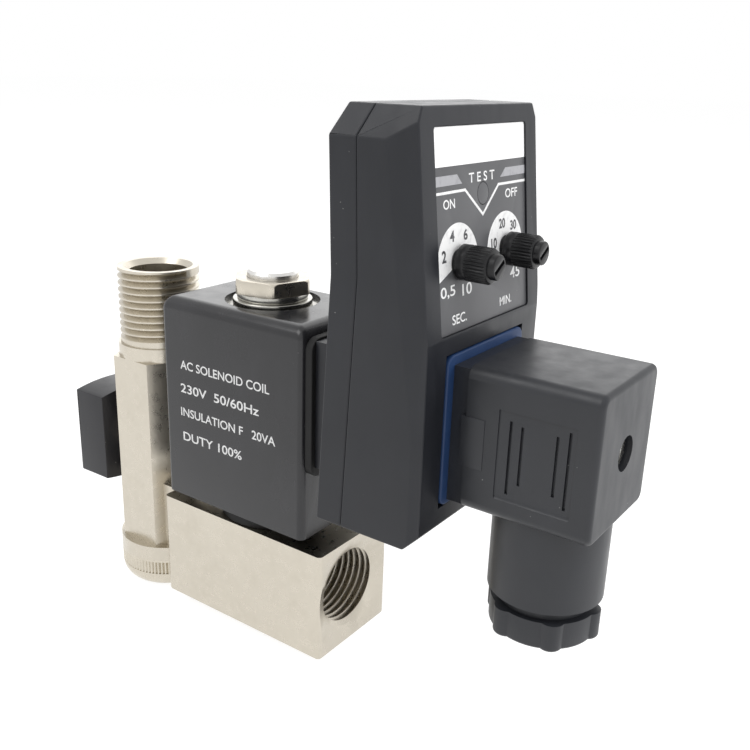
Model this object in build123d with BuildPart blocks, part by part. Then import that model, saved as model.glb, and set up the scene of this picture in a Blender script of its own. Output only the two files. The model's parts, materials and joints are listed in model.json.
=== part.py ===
"""Timer-controlled automatic drain valve with ball valve, strainer and cable plug.

Frame: millimetres, +Z up.  The origin is the centre of the outlet port on the
outlet face.  +X points out of the outlet port, and the whole valve is symmetric
about the XZ plane, apart from the two dial knobs.
"""
from build123d import *
from math import atan2, cos, degrees, radians, sin, tan
import os

os.makedirs("parts", exist_ok=True)

BASE = (Align.CENTER, Align.CENTER, Align.MIN)
FROM_LEFT = (Align.MIN, Align.CENTER, Align.CENTER)

# ---------------------------------------------------------------- driving sizes
# G 1/2 pipe thread, drawn as plain cylinders at the radius a gauge would meet
thread_major_radius = 10.4775
thread_minor_radius = 9.3155
running_fit = 0.08              # radial play of a shaft or plunger in its bore
seat_gap = 0.05                 # play between pieces that are pressed together

# body block and outlet
block_length = 52.0
block_width = 27.0
block_height = 28.0
block_bottom = -block_height / 2
block_top = block_bottom + block_height
outlet_thread_length = 15.0
outlet_floor_depth = 1.0        # drill-point shoulder past the thread
outlet_floor_radius = 7.6
outlet_passage_radius = 4.5
outlet_passage_drop = 2.0       # the inner passage runs below the port's axis

# upright inlet pipe
pipe_x = -65.8
inlet_top = 70.9
inlet_thread_length = 20.0
inlet_bore_radius = 7.5
collar_radius = 11.1
collar_height = 3.6
hexagon_flats = 22.0
hexagon_bottom = -5.0
foot_radius = 13.4
foot_height = 4.0
bridge_width = 17.0

# ball valve
ball_level = 21.5
ball_radius = 8.0
ball_port_radius = 5.5
ball_chamber_radius = 9.1
seat_ring_height = 3.2
retainer_height = 3.5
stem_radius = 3.0
stem_boss_radius = 5.4
handle_length = 26.5
handle_width = 21.0
handle_thickness = 11.6
handle_gap = 0.6                # between the stem boss and the handle

# strainer
screen_radius = 6.8
screen_wall = 0.5
cap_height = 9.0
cap_wall = 2.2
cap_spigot_length = 5.0

# solenoid coil and armature
coil_length = 44.1
coil_width = 30.6
coil_height = 50.7
coil_lift = 3.8                 # coil stands this far above the block
coil_gap = 4.0                  # coil face stands back from the outlet face
coil_x = -coil_gap - coil_length / 2
coil_bottom = block_top + coil_lift
coil_top = coil_bottom + coil_height
coil_corner = 3.0
recess_radius = 11.3
recess_depth = 1.2
tube_radius = 6.5
tube_wall = 0.95
plunger_length = 25.0
plunger_stroke = 2.5
orifice_radius = 2.25
seat_height = 2.2
chamber_depth = 9.8             # solenoid chamber, from the block's top
neck_radius = 6.0
nut_flats = 17.0
nut_height = 3.4
washer_height = 1.7

# timer housing
timer_half_width = 24.0
timer_bottom = 31.3
timer_top = 115.3
timer_wall = 2.2
shell_depth = 6.3               # how far the rear shell reaches forward
dial_tilt = degrees(atan2(4.11, 38.12))
dial_top_x = 27.06              # label surface at its upper edge
dial_top_z = 111.72
label_half_width = 17.7
label_height = 38.2
label_thickness = 0.4
bezel_rise = 0.4                # frame round the label stands proud
front_x = 31.6                  # upright lower front face
gasket_recess = 1.2

# DIN style cable plug
plug_width = 27.5
plug_height = 29.8
plug_front_x = 62.75
plug_level = 53.5               # height of the plug's centre and its screw
gland_x = 49.4
gland_radius = 12.05
gland_length = 18.3
gland_bore_radius = 8.0
gasket_thickness = 1.6
screw_radius = 1.45
screw_passage_radius = 1.8

# dial knobs
knob_spread = 9.4               # each knob's distance from the centre line
knob_drop = 24.9                # knobs' distance below the label's upper edge
knob_radius = 3.45
knob_height = 8.4
knob_gap = 0.55                 # knob's middle floats this far in front of the label

# planes and levels that several pieces share
dial_plane = Plane(
    origin=(dial_top_x, 0, dial_top_z),
    x_dir=(0, 1, 0),
    z_dir=(cos(radians(dial_tilt)), 0, sin(radians(dial_tilt))),
)
# upright plane through the label where the shafts cross it: board and knobs are square to it
shaft_plane = Plane(
    origin=dial_plane.from_local_coords(Vector(0, -knob_drop, 0)), x_dir=(0, 1, 0), z_dir=(1, 0, 0)
)
knob_places = {"on_time": -knob_spread, "off_time": knob_spread}
hexagon_top = inlet_top - inlet_thread_length - collar_height
foot_bottom = hexagon_bottom - foot_height
chamber_floor = block_top - chamber_depth
tube_spigot_length = 5.3
tube_spigot_radius = 9.5
tube_flange_radius = 11.5
tube_bore_radius = tube_radius - tube_wall
seat_level = chamber_floor + seat_height
plunger_seal_height = 2.0
core_bottom = seat_level + plunger_seal_height + plunger_length + plunger_stroke
core_collar_bottom = coil_top - 5.0
nut_seat = coil_top - recess_depth
gasket_face = front_x - gasket_recess
plug_rear = gasket_face + gasket_thickness
plug_bottom = plug_level - plug_height / 2


def write(builder, name):
    """Label a finished piece and write it as its own STEP file."""
    builder.part.label = name
    export_step(builder.part, f"parts/{name}.step")


def upright(x, y, low, high, radius, mode=Mode.ADD):
    """Cylinder along Z between two levels."""
    with Locations((x, y, low)):
        Cylinder(radius, high - low, align=BASE, mode=mode)


def lengthwise(start, end, y, z, radius, mode=Mode.ADD):
    """Cylinder along X between two stations."""
    with Locations((start, y, z)):
        Cylinder(radius, end - start, rotation=(0, 90, 0), align=BASE, mode=mode)


def block_between(low, high, mode=Mode.ADD):
    """Box from its lowest corner to its highest corner."""
    size = [b - a for a, b in zip(low, high)]
    with Locations(low):
        Box(*size, align=(Align.MIN, Align.MIN, Align.MIN), mode=mode)


# ------------------------------------------------------------------- valve body
seat_ring_reach = ball_radius - 1.2     # how far a seat's face is from the ball's centre
upper_shoulder = ball_level + seat_ring_reach + seat_ring_height - 1.0
lower_seat_top = ball_level - seat_ring_reach + 1.0
lower_seat_bottom = lower_seat_top - seat_ring_height
retainer_bottom = lower_seat_bottom - retainer_height
stem_boss_end = pipe_x - foot_radius + 0.7
inlet_passage_level = chamber_floor + 2.5

with BuildPart() as valve_body:
    block_between(
        (-block_length, -block_width / 2, block_bottom), (0, block_width / 2, block_top)
    )
    fillet(valve_body.edges().filter_by(Axis.Z), radius=1.2)
    fillet(valve_body.faces().sort_by(Axis.Z)[0].edges(), radius=0.8)
    # bridge, foot, hexagon, collar and threaded end of the inlet pipe
    block_between(
        (pipe_x, -bridge_width / 2, hexagon_bottom),
        (-block_length + 2, bridge_width / 2, block_top - 0.6),
    )
    upright(pipe_x, 0, foot_bottom, hexagon_bottom, foot_radius)
    with BuildSketch(Plane.XY.offset(hexagon_bottom)):
        with Locations((pipe_x, 0)):
            RegularPolygon(hexagon_flats / 2, 6, major_radius=False)
    extrude(amount=hexagon_top - hexagon_bottom)
    upright(pipe_x, 0, hexagon_top, inlet_top - inlet_thread_length, collar_radius)
    upright(pipe_x, 0, inlet_top - inlet_thread_length, inlet_top, thread_major_radius)
    lengthwise(stem_boss_end, pipe_x, 0, ball_level, stem_boss_radius)
    # inlet bore, ball chamber and strainer chamber
    upright(pipe_x, 0, ball_level, inlet_top, ball_port_radius, Mode.SUBTRACT)
    upright(pipe_x, 0, upper_shoulder + 6, inlet_top, inlet_bore_radius, Mode.SUBTRACT)
    upright(pipe_x, 0, foot_bottom, upper_shoulder, ball_chamber_radius, Mode.SUBTRACT)
    lengthwise(stem_boss_end, pipe_x, 0, ball_level, stem_radius + running_fit, Mode.SUBTRACT)
    # gallery from the strainer chamber to the solenoid chamber
    lengthwise(pipe_x, coil_x, 0, inlet_passage_level, orifice_radius, Mode.SUBTRACT)
    upright(coil_x, 0, chamber_floor, block_top, tube_spigot_radius - 1, Mode.SUBTRACT)
    upright(
        coil_x, 0, block_top - tube_spigot_length, block_top,
        tube_spigot_radius + seat_gap, Mode.SUBTRACT,
    )
    upright(coil_x, 0, chamber_floor, seat_level, orifice_radius * 2)
    # outlet bore, the lower passage and the orifice
    lengthwise(-outlet_thread_length, 0, 0, 0, thread_minor_radius, Mode.SUBTRACT)
    with Locations((-outlet_thread_length, 0, 0)):
        Cone(
            thread_minor_radius, outlet_floor_radius, outlet_floor_depth,
            rotation=(0, -90, 0), align=BASE, mode=Mode.SUBTRACT,
        )
    lengthwise(
        coil_x - orifice_radius, -outlet_thread_length, 0, -outlet_passage_drop,
        outlet_passage_radius, Mode.SUBTRACT,
    )
    upright(coil_x, 0, -outlet_passage_drop, seat_level, orifice_radius, Mode.SUBTRACT)
write(valve_body, "valve_body")

# -------------------------------------------------------------- ball valve pieces
for name, low in (
    ("upper_ball_seat", upper_shoulder - seat_ring_height),
    ("lower_ball_seat", lower_seat_bottom),
):
    with BuildPart() as ball_seat:
        upright(pipe_x, 0, low, low + seat_ring_height, ball_chamber_radius - seat_gap)
        upright(pipe_x, 0, low, low + seat_ring_height, ball_port_radius, Mode.SUBTRACT)
        with Locations((pipe_x, 0, ball_level)):
            Sphere(ball_radius + running_fit, mode=Mode.SUBTRACT)
    write(ball_seat, name)

with BuildPart() as seat_retainer:
    upright(
        pipe_x, 0, retainer_bottom, lower_seat_bottom, ball_chamber_radius - seat_gap
    )
    with BuildSketch(Plane.XY.offset(retainer_bottom)):
        with Locations((pipe_x, 0)):
            RegularPolygon(ball_port_radius, 6, major_radius=False)
    extrude(amount=retainer_height, mode=Mode.SUBTRACT)
write(seat_retainer, "seat_retainer")

ball_slot_width = 3.0
ball_slot_depth = 2.0
stem_tongue_start = pipe_x - ball_radius + ball_slot_depth
with BuildPart() as ball:
    with Locations((pipe_x, 0, ball_level)):
        Sphere(ball_radius)
        Cylinder(ball_port_radius, ball_radius * 2, mode=Mode.SUBTRACT)
    block_between(
        (pipe_x - ball_radius, -ball_slot_width / 2, ball_level - ball_radius),
        (stem_tongue_start, ball_slot_width / 2, ball_level + ball_radius),
        Mode.SUBTRACT,
    )
write(ball, "ball")

handle_inner_x = stem_boss_end - handle_gap
handle_outer_x = handle_inner_x - handle_thickness
stem_end = handle_inner_x - 6.0
with BuildPart() as ball_stem:
    lengthwise(stem_end, pipe_x - ball_radius, 0, ball_level, stem_radius)
    block_between(
        (pipe_x - ball_radius - 0.5, -ball_slot_width / 2 + 0.1, ball_level - stem_radius),
        (stem_tongue_start - 0.1, ball_slot_width / 2 - 0.1, ball_level + stem_radius),
    )
    # two flats drive the handle, and a tapped hole takes its screw
    for side in (-1, 1):
        with Locations(((stem_end + handle_inner_x) / 2, side * (stem_radius + 0.7), ball_level)):
            Box(handle_inner_x - stem_end, 3.0, stem_radius * 2, mode=Mode.SUBTRACT)
    lengthwise(stem_end, stem_end + 5.0, 0, ball_level, 1.3, Mode.SUBTRACT)
write(ball_stem, "ball_stem")

with BuildPart() as stem_packing:
    lengthwise(stem_boss_end - 0.3, stem_boss_end, 0, ball_level, stem_boss_radius - 0.4)
    lengthwise(
        stem_boss_end - 0.3, stem_boss_end, 0, ball_level, stem_radius + running_fit,
        Mode.SUBTRACT,
    )
write(stem_packing, "stem_packing")

handle_crown = 1.2
screw_head_radius = 2.75
screw_pocket_radius = 3.6
screw_pocket_depth = handle_thickness - 6.0 - 1.6
with BuildPart() as shutoff_handle:
    # outline seen along the stem: a tablet with gently crowned ends
    with BuildSketch(Plane.YZ.offset(handle_outer_x)):
        with BuildLine():
            half_width = handle_width / 2
            reach = handle_length / 2 - handle_crown
            middle = ball_level
            Line((-half_width, middle - reach), (-half_width, middle + reach))
            ThreePointArc(
                (-half_width, middle + reach),
                (0, middle + reach + handle_crown),
                (half_width, middle + reach),
            )
            Line((half_width, middle + reach), (half_width, middle - reach))
            ThreePointArc(
                (half_width, middle - reach),
                (0, middle - reach - handle_crown),
                (-half_width, middle - reach),
            )
        make_face()
    extrude(amount=handle_thickness)
    fillet(shutoff_handle.faces().sort_by(Axis.X)[0].edges(), radius=1.2)
    # screw pocket, screw hole and the socket for the stem's flats
    lengthwise(
        handle_outer_x, handle_outer_x + screw_pocket_depth, 0, ball_level,
        screw_pocket_radius, Mode.SUBTRACT,
    )
    lengthwise(handle_outer_x, handle_inner_x, 0, ball_level, 1.7, Mode.SUBTRACT)
    block_between(
        (stem_end, -stem_radius + 0.7, ball_level - stem_radius - seat_gap),
        (handle_inner_x, stem_radius - 0.7, ball_level + stem_radius + seat_gap),
        Mode.SUBTRACT,
    )
write(shutoff_handle, "shutoff_handle")

handle_screw_seat = handle_outer_x + screw_pocket_depth
with BuildPart() as handle_screw:
    lengthwise(handle_screw_seat - 2.0, handle_screw_seat, 0, ball_level, screw_head_radius)
    lengthwise(handle_screw_seat, stem_end + 4.5, 0, ball_level, 1.25)
    with Locations((handle_screw_seat - 2.0, 0, ball_level)):
        Box(1.0, 0.8, screw_head_radius * 2, align=FROM_LEFT, mode=Mode.SUBTRACT)
write(handle_screw, "handle_screw")

# ---------------------------------------------------------------------- strainer
cap_bottom = foot_bottom - cap_height
cap_round = 4.6
screen_bottom = cap_bottom + cap_wall
screen_rows = 5
screen_holes = 10
screen_hole = 1.6
screen_row_pitch = 2.8
with BuildPart() as strainer_screen:
    upright(pipe_x, 0, screen_bottom, retainer_bottom, screen_radius)
    upright(
        pipe_x, 0, screen_bottom, retainer_bottom, screen_radius - screen_wall, Mode.SUBTRACT
    )
    # rows of square holes, every other row turned by half a step
    hole_step = 360 / screen_holes
    for row in range(screen_rows):
        level = foot_bottom + cap_spigot_length + 1.0 + row * screen_row_pitch
        for step in range(screen_holes // 2):
            turn = hole_step * (step + (row % 2) / 2)
            with Locations(Location((pipe_x, 0, level), (0, 0, turn))):
                Box(4 * screen_radius, screen_hole, screen_hole, mode=Mode.SUBTRACT)
write(strainer_screen, "strainer_screen")

cap_inner_radius = screen_radius + 0.1
with BuildPart() as strainer_cap:
    upright(pipe_x, 0, cap_bottom, foot_bottom, foot_radius)
    fillet(strainer_cap.edges().sort_by(Axis.Z)[0], radius=cap_round)
    upright(
        pipe_x, 0, foot_bottom, foot_bottom + cap_spigot_length, ball_chamber_radius - seat_gap
    )
    upright(
        pipe_x, 0, screen_bottom, foot_bottom + cap_spigot_length, cap_inner_radius,
        Mode.SUBTRACT,
    )
    # groove for the sealing ring just above the cap's flange
    with BuildSketch(Plane.XY.offset(foot_bottom + 0.6)):
        with Locations((pipe_x, 0)):
            Circle(ball_chamber_radius)
            Circle(ball_chamber_radius - 1.2, mode=Mode.SUBTRACT)
    extrude(amount=1.6, mode=Mode.SUBTRACT)
write(strainer_cap, "strainer_cap")

with BuildPart() as cap_o_ring:
    with Locations((pipe_x, 0, foot_bottom + 1.4)):
        Torus(ball_chamber_radius - 0.62, 0.55)
write(cap_o_ring, "cap_o_ring")

# ------------------------------------------------------- armature tube and plunger
flange_top = coil_bottom
with BuildPart() as armature_tube:
    upright(coil_x, 0, block_top - tube_spigot_length + seat_gap, block_top, tube_spigot_radius)
    upright(coil_x, 0, block_top, flange_top, tube_flange_radius)
    upright(coil_x, 0, flange_top, core_collar_bottom, tube_radius)
    upright(
        coil_x, 0, block_top - tube_spigot_length, core_collar_bottom, tube_bore_radius,
        Mode.SUBTRACT,
    )
write(armature_tube, "armature_tube")

with BuildPart() as base_seal:
    upright(coil_x, 0, block_top, coil_bottom, tube_flange_radius + 1.6)
    upright(coil_x, 0, block_top, coil_bottom, tube_flange_radius + seat_gap, Mode.SUBTRACT)
write(base_seal, "base_seal")

chamber_seal_radius = 0.9
with BuildPart() as tube_o_ring:
    with Locations((coil_x, 0, block_top - tube_spigot_length - chamber_seal_radius - seat_gap)):
        Torus(tube_spigot_radius - 1.1 - chamber_seal_radius, chamber_seal_radius)
write(tube_o_ring, "tube_o_ring")

shading_ring_radius = 3.6
shading_ring_depth = 1.2
with BuildPart() as fixed_core:
    upright(coil_x, 0, core_bottom, core_collar_bottom, tube_bore_radius - 0.02)
    upright(coil_x, 0, core_collar_bottom, nut_seat, tube_radius)
    upright(coil_x, 0, nut_seat, nut_seat + 2 * washer_height + nut_height + 1.6, neck_radius)
    chamfer(fixed_core.edges().sort_by(Axis.Z)[-1], length=0.6)
    upright(coil_x, 0, core_bottom, core_bottom + 6.0, 2.1, Mode.SUBTRACT)
    with BuildSketch(Plane.XY.offset(core_bottom)):
        with Locations((coil_x, 0)):
            Circle(shading_ring_radius + 0.5)
            Circle(shading_ring_radius - 0.5, mode=Mode.SUBTRACT)
    extrude(amount=shading_ring_depth, mode=Mode.SUBTRACT)
write(fixed_core, "fixed_core")

with BuildPart() as shading_ring:
    upright(coil_x, 0, core_bottom, core_bottom + shading_ring_depth, shading_ring_radius + 0.5)
    upright(
        coil_x, 0, core_bottom, core_bottom + shading_ring_depth, shading_ring_radius - 0.5,
        Mode.SUBTRACT,
    )
write(shading_ring, "shading_ring")

plunger_bottom = seat_level + plunger_seal_height
plunger_top = plunger_bottom + plunger_length
spring_radius = 1.6
spring_wire = 0.35
with BuildPart() as plunger:
    upright(coil_x, 0, plunger_bottom, plunger_top, tube_bore_radius - running_fit)
    upright(coil_x, 0, plunger_top - 8.0, plunger_top, 2.1, Mode.SUBTRACT)
    upright(coil_x, 0, plunger_bottom, plunger_bottom + 1.5, 3.2, Mode.SUBTRACT)
    # two grooves let water past the plunger
    for side in (-1, 1):
        with Locations((coil_x, side * (tube_bore_radius - 0.3), plunger_bottom)):
            Box(1.6, 1.6, plunger_length, align=BASE, mode=Mode.SUBTRACT)
write(plunger, "plunger")

with BuildPart() as plunger_seal:
    upright(coil_x, 0, seat_level + 0.02, plunger_bottom + 1.5, 3.2)
    upright(coil_x, 0, seat_level + 0.02, plunger_bottom, 4.4)
write(plunger_seal, "plunger_seal")

spring_bottom = plunger_top - 8.0
spring_top = core_bottom + 6.0
spring_turns = 9
with BuildPart() as plunger_spring:
    with BuildLine() as spring_path:
        Helix(
            pitch=(spring_top - spring_bottom - 2 * spring_wire) / spring_turns,
            height=spring_top - spring_bottom - 2 * spring_wire,
            radius=spring_radius,
            center=(coil_x, 0, spring_bottom + spring_wire),
        )
    with BuildSketch(Plane(spring_path.line @ 0, z_dir=spring_path.line % 0)):
        Circle(spring_wire)
    sweep(is_frenet=True)
write(plunger_spring, "plunger_spring")

# -------------------------------------------------------------------------- coil
yoke_length = coil_length - 5.0
yoke_width = coil_width - 8.6
yoke_plate = 3.0
yoke_top = nut_seat
yoke_bottom = coil_bottom + 1.5
bobbin_bottom = yoke_bottom + yoke_plate
bobbin_top = yoke_top - yoke_plate
bobbin_radius = 12.8
bobbin_flange = 1.5
bobbin_wall = 0.9
bobbin_bore = tube_radius + 0.2
winding_radius = bobbin_radius - 0.5

with BuildPart() as coil_yoke:
    block_between(
        (coil_x - yoke_length / 2, -yoke_width / 2, yoke_bottom),
        (coil_x + yoke_length / 2, yoke_width / 2, yoke_top),
    )
    block_between(
        (coil_x - yoke_length / 2 + yoke_plate, -yoke_width / 2, bobbin_bottom),
        (coil_x + yoke_length / 2 - yoke_plate, yoke_width / 2, bobbin_top),
        Mode.SUBTRACT,
    )
    upright(coil_x, 0, yoke_bottom, yoke_top, tube_radius + 0.15, Mode.SUBTRACT)
write(coil_yoke, "coil_yoke")

with BuildPart() as coil_bobbin:
    upright(coil_x, 0, bobbin_bottom, bobbin_top, bobbin_bore + bobbin_wall)
    upright(coil_x, 0, bobbin_bottom, bobbin_bottom + bobbin_flange, bobbin_radius)
    upright(coil_x, 0, bobbin_top - bobbin_flange, bobbin_top, bobbin_radius)
    upright(coil_x, 0, bobbin_bottom, bobbin_top, bobbin_bore, Mode.SUBTRACT)
write(coil_bobbin, "coil_bobbin")

with BuildPart() as coil_winding:
    upright(
        coil_x, 0, bobbin_bottom + bobbin_flange, bobbin_top - bobbin_flange, winding_radius
    )
    upright(
        coil_x, 0, bobbin_bottom, bobbin_top, bobbin_bore + bobbin_wall + 0.03, Mode.SUBTRACT
    )
write(coil_winding, "coil_winding")

# four contact places of a form A connector, 9 mm from its centre
contact_reach = 9.0
blade_width = 6.3
blade_thickness = 0.8
coil_face_x = coil_x + coil_length / 2
blade_root = coil_x + yoke_length / 2 + 0.1
blade_tip = coil_face_x + 8.0
coil_contacts = [(-contact_reach, 0), (contact_reach, 0), (0, -contact_reach)]
long_screw_end = coil_face_x - 2.3


def blades(start, end, places, extra=0.0, mode=Mode.ADD):
    """Flat contact blades along X, each with its broad side towards the screw."""
    for across, above in places:
        wide, thin = blade_width + extra, blade_thickness + extra
        size = (thin, wide) if above == 0 else (wide, thin)
        with Locations((start, across, plug_level + above)):
            Box(end - start, *size, align=FROM_LEFT, mode=mode)


with BuildPart() as coil_housing:
    block_between(
        (coil_face_x - coil_length, -coil_width / 2, coil_bottom),
        (coil_face_x, coil_width / 2, coil_top),
    )
    fillet(coil_housing.edges().filter_by(Axis.Z), radius=1.6)
    fillet(coil_housing.faces().sort_by(Axis.Z)[-1].edges(), radius=coil_corner)
    upright(coil_x, 0, nut_seat, coil_top, recess_radius, Mode.SUBTRACT)
    # the moulding wraps the yoke and the wound bobbin
    block_between(
        (coil_x - yoke_length / 2, -yoke_width / 2, yoke_bottom),
        (coil_x + yoke_length / 2, yoke_width / 2, yoke_top),
        Mode.SUBTRACT,
    )
    upright(coil_x, 0, bobbin_bottom, bobbin_top, bobbin_radius + 0.02, Mode.SUBTRACT)
    upright(coil_x, 0, coil_bottom, yoke_bottom, tube_radius + 0.15, Mode.SUBTRACT)
    blades(blade_root - 0.2, coil_face_x, coil_contacts, 0.04, Mode.SUBTRACT)
    lengthwise(long_screw_end, coil_face_x, 0, plug_level, screw_radius + 0.02, Mode.SUBTRACT)
write(coil_housing, "coil_housing")

with BuildPart() as coil_blades:
    blades(blade_root, blade_tip, coil_contacts)
write(coil_blades, "coil_blades")

with BuildPart() as flat_washer:
    upright(coil_x, 0, nut_seat, nut_seat + washer_height, 9.4)
    upright(coil_x, 0, nut_seat, nut_seat + washer_height, neck_radius + seat_gap, Mode.SUBTRACT)
write(flat_washer, "flat_washer")

lock_washer_bottom = nut_seat + washer_height
with BuildPart() as lock_washer:
    upright(coil_x, 0, lock_washer_bottom, lock_washer_bottom + washer_height, 8.4)
    upright(
        coil_x, 0, lock_washer_bottom, lock_washer_bottom + washer_height,
        neck_radius + seat_gap, Mode.SUBTRACT,
    )
    with Locations((coil_x, 0, lock_washer_bottom)):
        Box(0.8, 12.0, washer_height, align=(Align.CENTER, Align.MIN, Align.MIN), mode=Mode.SUBTRACT)
write(lock_washer, "lock_washer")

nut_bottom = lock_washer_bottom + washer_height
with BuildPart() as coil_nut:
    with BuildSketch(Plane.XY.offset(nut_bottom)):
        with Locations((coil_x, 0)):
            RegularPolygon(nut_flats / 2, 6, major_radius=False, rotation=12)
            Circle(neck_radius + seat_gap, mode=Mode.SUBTRACT)
    extrude(amount=nut_height)
    with BuildPart(mode=Mode.PRIVATE) as rounding:
        upright(coil_x, 0, nut_bottom, nut_bottom + nut_height, nut_flats / 2 * 1.13)
        chamfer(rounding.edges().sort_by(Axis.Z)[-1], length=0.5)
    add(rounding.part, mode=Mode.INTERSECT)
write(coil_nut, "coil_nut")

# ----------------------------------------------------------------- timer housing
rear_gasket_thickness = 2.0
rear_gasket_width = 29.0
rear_gasket_height = 32.5
rear_gasket_drop = 3.5          # gasket's centre sits below the long screw
rear_boss_half = 13.2
rear_x = coil_face_x + rear_gasket_thickness
back_bottom_x = 7.1             # back wall leans out from here up to its knee
back_knee_x = 9.9
back_knee_z = 84.0
back_top_x = 9.0
back_top_z = 109.7
top_back_x = 11.4
bottom_chamfer = 2.8


def dial_x(level, rise=0.0):
    """X of the tilted dial surface, or of one parallel to it, at a level."""
    lean = tan(radians(dial_tilt))
    return dial_top_x + (dial_top_z - level) * lean + rise / cos(radians(dial_tilt))


bezel_bottom = dial_top_z - (front_x - dial_x(dial_top_z, bezel_rise)) / tan(radians(dial_tilt))
outline = [
    (back_bottom_x, timer_bottom),
    (back_knee_x, back_knee_z),
    (back_top_x, back_top_z),
    (top_back_x, timer_top),
    (dial_x(timer_top, bezel_rise), timer_top),
    (front_x, bezel_bottom),
    (front_x, timer_bottom + bottom_chamfer),
    (front_x - bottom_chamfer, timer_bottom),
]
seam = [(x + shell_depth, z) for x, z in outline[:4]]
seam[0] = (seam[0][0], timer_bottom - 1)
seam[3] = (seam[3][0], timer_top + 1)

# side corners of the front: each pair is a level and a half width
crown_inset = 2.9
crown_drop = 5.9
facet_inset = 1.6               # how much narrower the front frame is at its upper corners
facet_top = timer_top - crown_drop
facet_low = facet_top - 29.8
facet_corner = timer_top - 2.0
facet_points = [
    (21.5, timer_half_width, facet_top),
    (26.0, timer_half_width, facet_low),
    (dial_x(facet_corner, bezel_rise), timer_half_width - facet_inset, facet_corner),
]


def cutting_plane(points, side):
    """Plane through three points, mirrored to the wanted side, facing outwards."""
    a, b, c = (Vector(x, side * y, z) for x, y, z in points)
    normal = (b - a).cross(c - a).normalized()
    if normal.Y * side < 0:
        normal = -normal
    return Plane(origin=a, z_dir=normal)


with BuildPart() as timer_form:
    # outer form of the closed housing, before it is parted and hollowed
    with BuildSketch(Plane.XZ):
        with BuildLine():
            Polyline(*outline, close=True)
        make_face()
    extrude(amount=timer_half_width, both=True)
    for side in (-1, 1):
        crown = [
            (0, timer_half_width - crown_inset, timer_top),
            (10, timer_half_width - crown_inset, timer_top),
            (0, timer_half_width, timer_top - crown_drop),
        ]
        split(bisect_by=cutting_plane(crown, side), keep=Keep.BOTTOM)
        split(bisect_by=cutting_plane(facet_points, side), keep=Keep.BOTTOM)
    # lower front corners
    upright_corners = timer_form.edges().filter_by(Axis.Z).group_by(Axis.X)[-1]
    chamfer(upright_corners, length=facet_inset)

with BuildPart() as seam_tool:
    # everything in front of the parting line between the two shells
    with BuildSketch(Plane.XZ):
        with BuildLine():
            Polyline(*seam, (60, timer_top + 1), (60, timer_bottom - 1), close=True)
        make_face()
    extrude(amount=timer_half_width + 1, both=True)

cavity_half = timer_half_width - timer_wall
front_cavity_half = timer_half_width - 7.6
with BuildPart() as cavity:
    # room inside the housing: wide behind, narrower behind the dial
    with BuildSketch(Plane.XZ):
        with BuildLine():
            Polyline(
                (back_bottom_x + timer_wall, timer_bottom + timer_wall),
                (back_knee_x + timer_wall, back_knee_z),
                (back_top_x + timer_wall, back_top_z - timer_wall),
                (back_top_x + timer_wall + 9.0, back_top_z - timer_wall),
                (back_top_x + timer_wall + 13.0, timer_bottom + timer_wall + 14),
                (back_top_x + timer_wall + 13.0, timer_bottom + timer_wall),
                close=True,
            )
        make_face()
    extrude(amount=cavity_half, both=True)
    with BuildSketch(Plane.XZ):
        with BuildLine():
            Polyline(
                (back_knee_x + shell_depth, timer_bottom + timer_wall),
                (back_knee_x + shell_depth, timer_top - timer_wall),
                (dial_x(timer_top - timer_wall, -timer_wall), timer_top - timer_wall),
                (dial_x(bezel_bottom, -timer_wall), bezel_bottom),
                (gasket_face - timer_wall, bezel_bottom - 3),
                (gasket_face - timer_wall, timer_bottom + timer_wall + 2),
                (gasket_face - timer_wall - 2, timer_bottom + timer_wall),
                close=True,
            )
        make_face()
    extrude(amount=front_cavity_half, both=True)

# shell screws, two high and two low, and the tubes that guard the long screw
shell_screw_reach = timer_half_width - 5.4
shell_screw_levels = (timer_bottom + 7.0, timer_top - 17.3)
shell_screw_places = [(y, z) for y in (-shell_screw_reach, shell_screw_reach) for z in shell_screw_levels]
shell_boss_radius = 3.2
shell_boss_end = front_x - 5.1
pilot_radius = 1.2
shell_screw_seat = back_knee_x + 3.4
guard_radius = 3.4

with BuildPart() as timer_rear_shell:
    add(timer_form.part)
    add(seam_tool.part, mode=Mode.SUBTRACT)
    add(cavity.part, mode=Mode.SUBTRACT)
    for across, level in shell_screw_places:
        lengthwise(
            back_bottom_x, back_knee_x + shell_depth - 3.2, across, level, shell_boss_radius
        )
    add(timer_form.part, mode=Mode.INTERSECT)
    # neck that reaches back to the coil's terminal face
    block_between(
        (rear_x, -rear_boss_half, plug_level - rear_boss_half - 4.0),
        (back_knee_x, rear_boss_half, plug_level + rear_boss_half - 1.0),
    )
    block_between(
        (rear_x + 1.6, -rear_boss_half + 1.8, plug_level - rear_boss_half - 2.2),
        (back_knee_x + timer_wall, rear_boss_half - 1.8, plug_level + rear_boss_half - 2.8),
        Mode.SUBTRACT,
    )
    lengthwise(rear_x, back_knee_x + 3.0, 0, plug_level, guard_radius)
    for across, level in shell_screw_places:
        lengthwise(0, shell_screw_seat, across, level, 2.8, Mode.SUBTRACT)
        lengthwise(0, 30, across, level, 1.5, Mode.SUBTRACT)
    lengthwise(rear_x, 30, 0, plug_level, screw_passage_radius, Mode.SUBTRACT)
    blades(rear_x, rear_x + 1.7, coil_contacts, 0.6, Mode.SUBTRACT)
write(timer_rear_shell, "timer_rear_shell")

key_drop = 13.0                 # test key's distance below the label's upper edge
key_radius = 2.1
key_gap = 0.12
knob_shaft_radius = 1.5
gasket_half_width = 15.3
gasket_foot = 38.2
gasket_head = 69.7
plug_contacts = [(-contact_reach, 0), (contact_reach, 0), (0, -contact_reach), (0, contact_reach)]


def shaft_holes(radius, start, end):
    """Cuts a hole for each dial's shaft, between two distances from the label."""
    for across in knob_places.values():
        lengthwise(
            shaft_plane.origin.X + end, shaft_plane.origin.X + start, across,
            shaft_plane.origin.Z, radius, Mode.SUBTRACT,
        )


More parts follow.
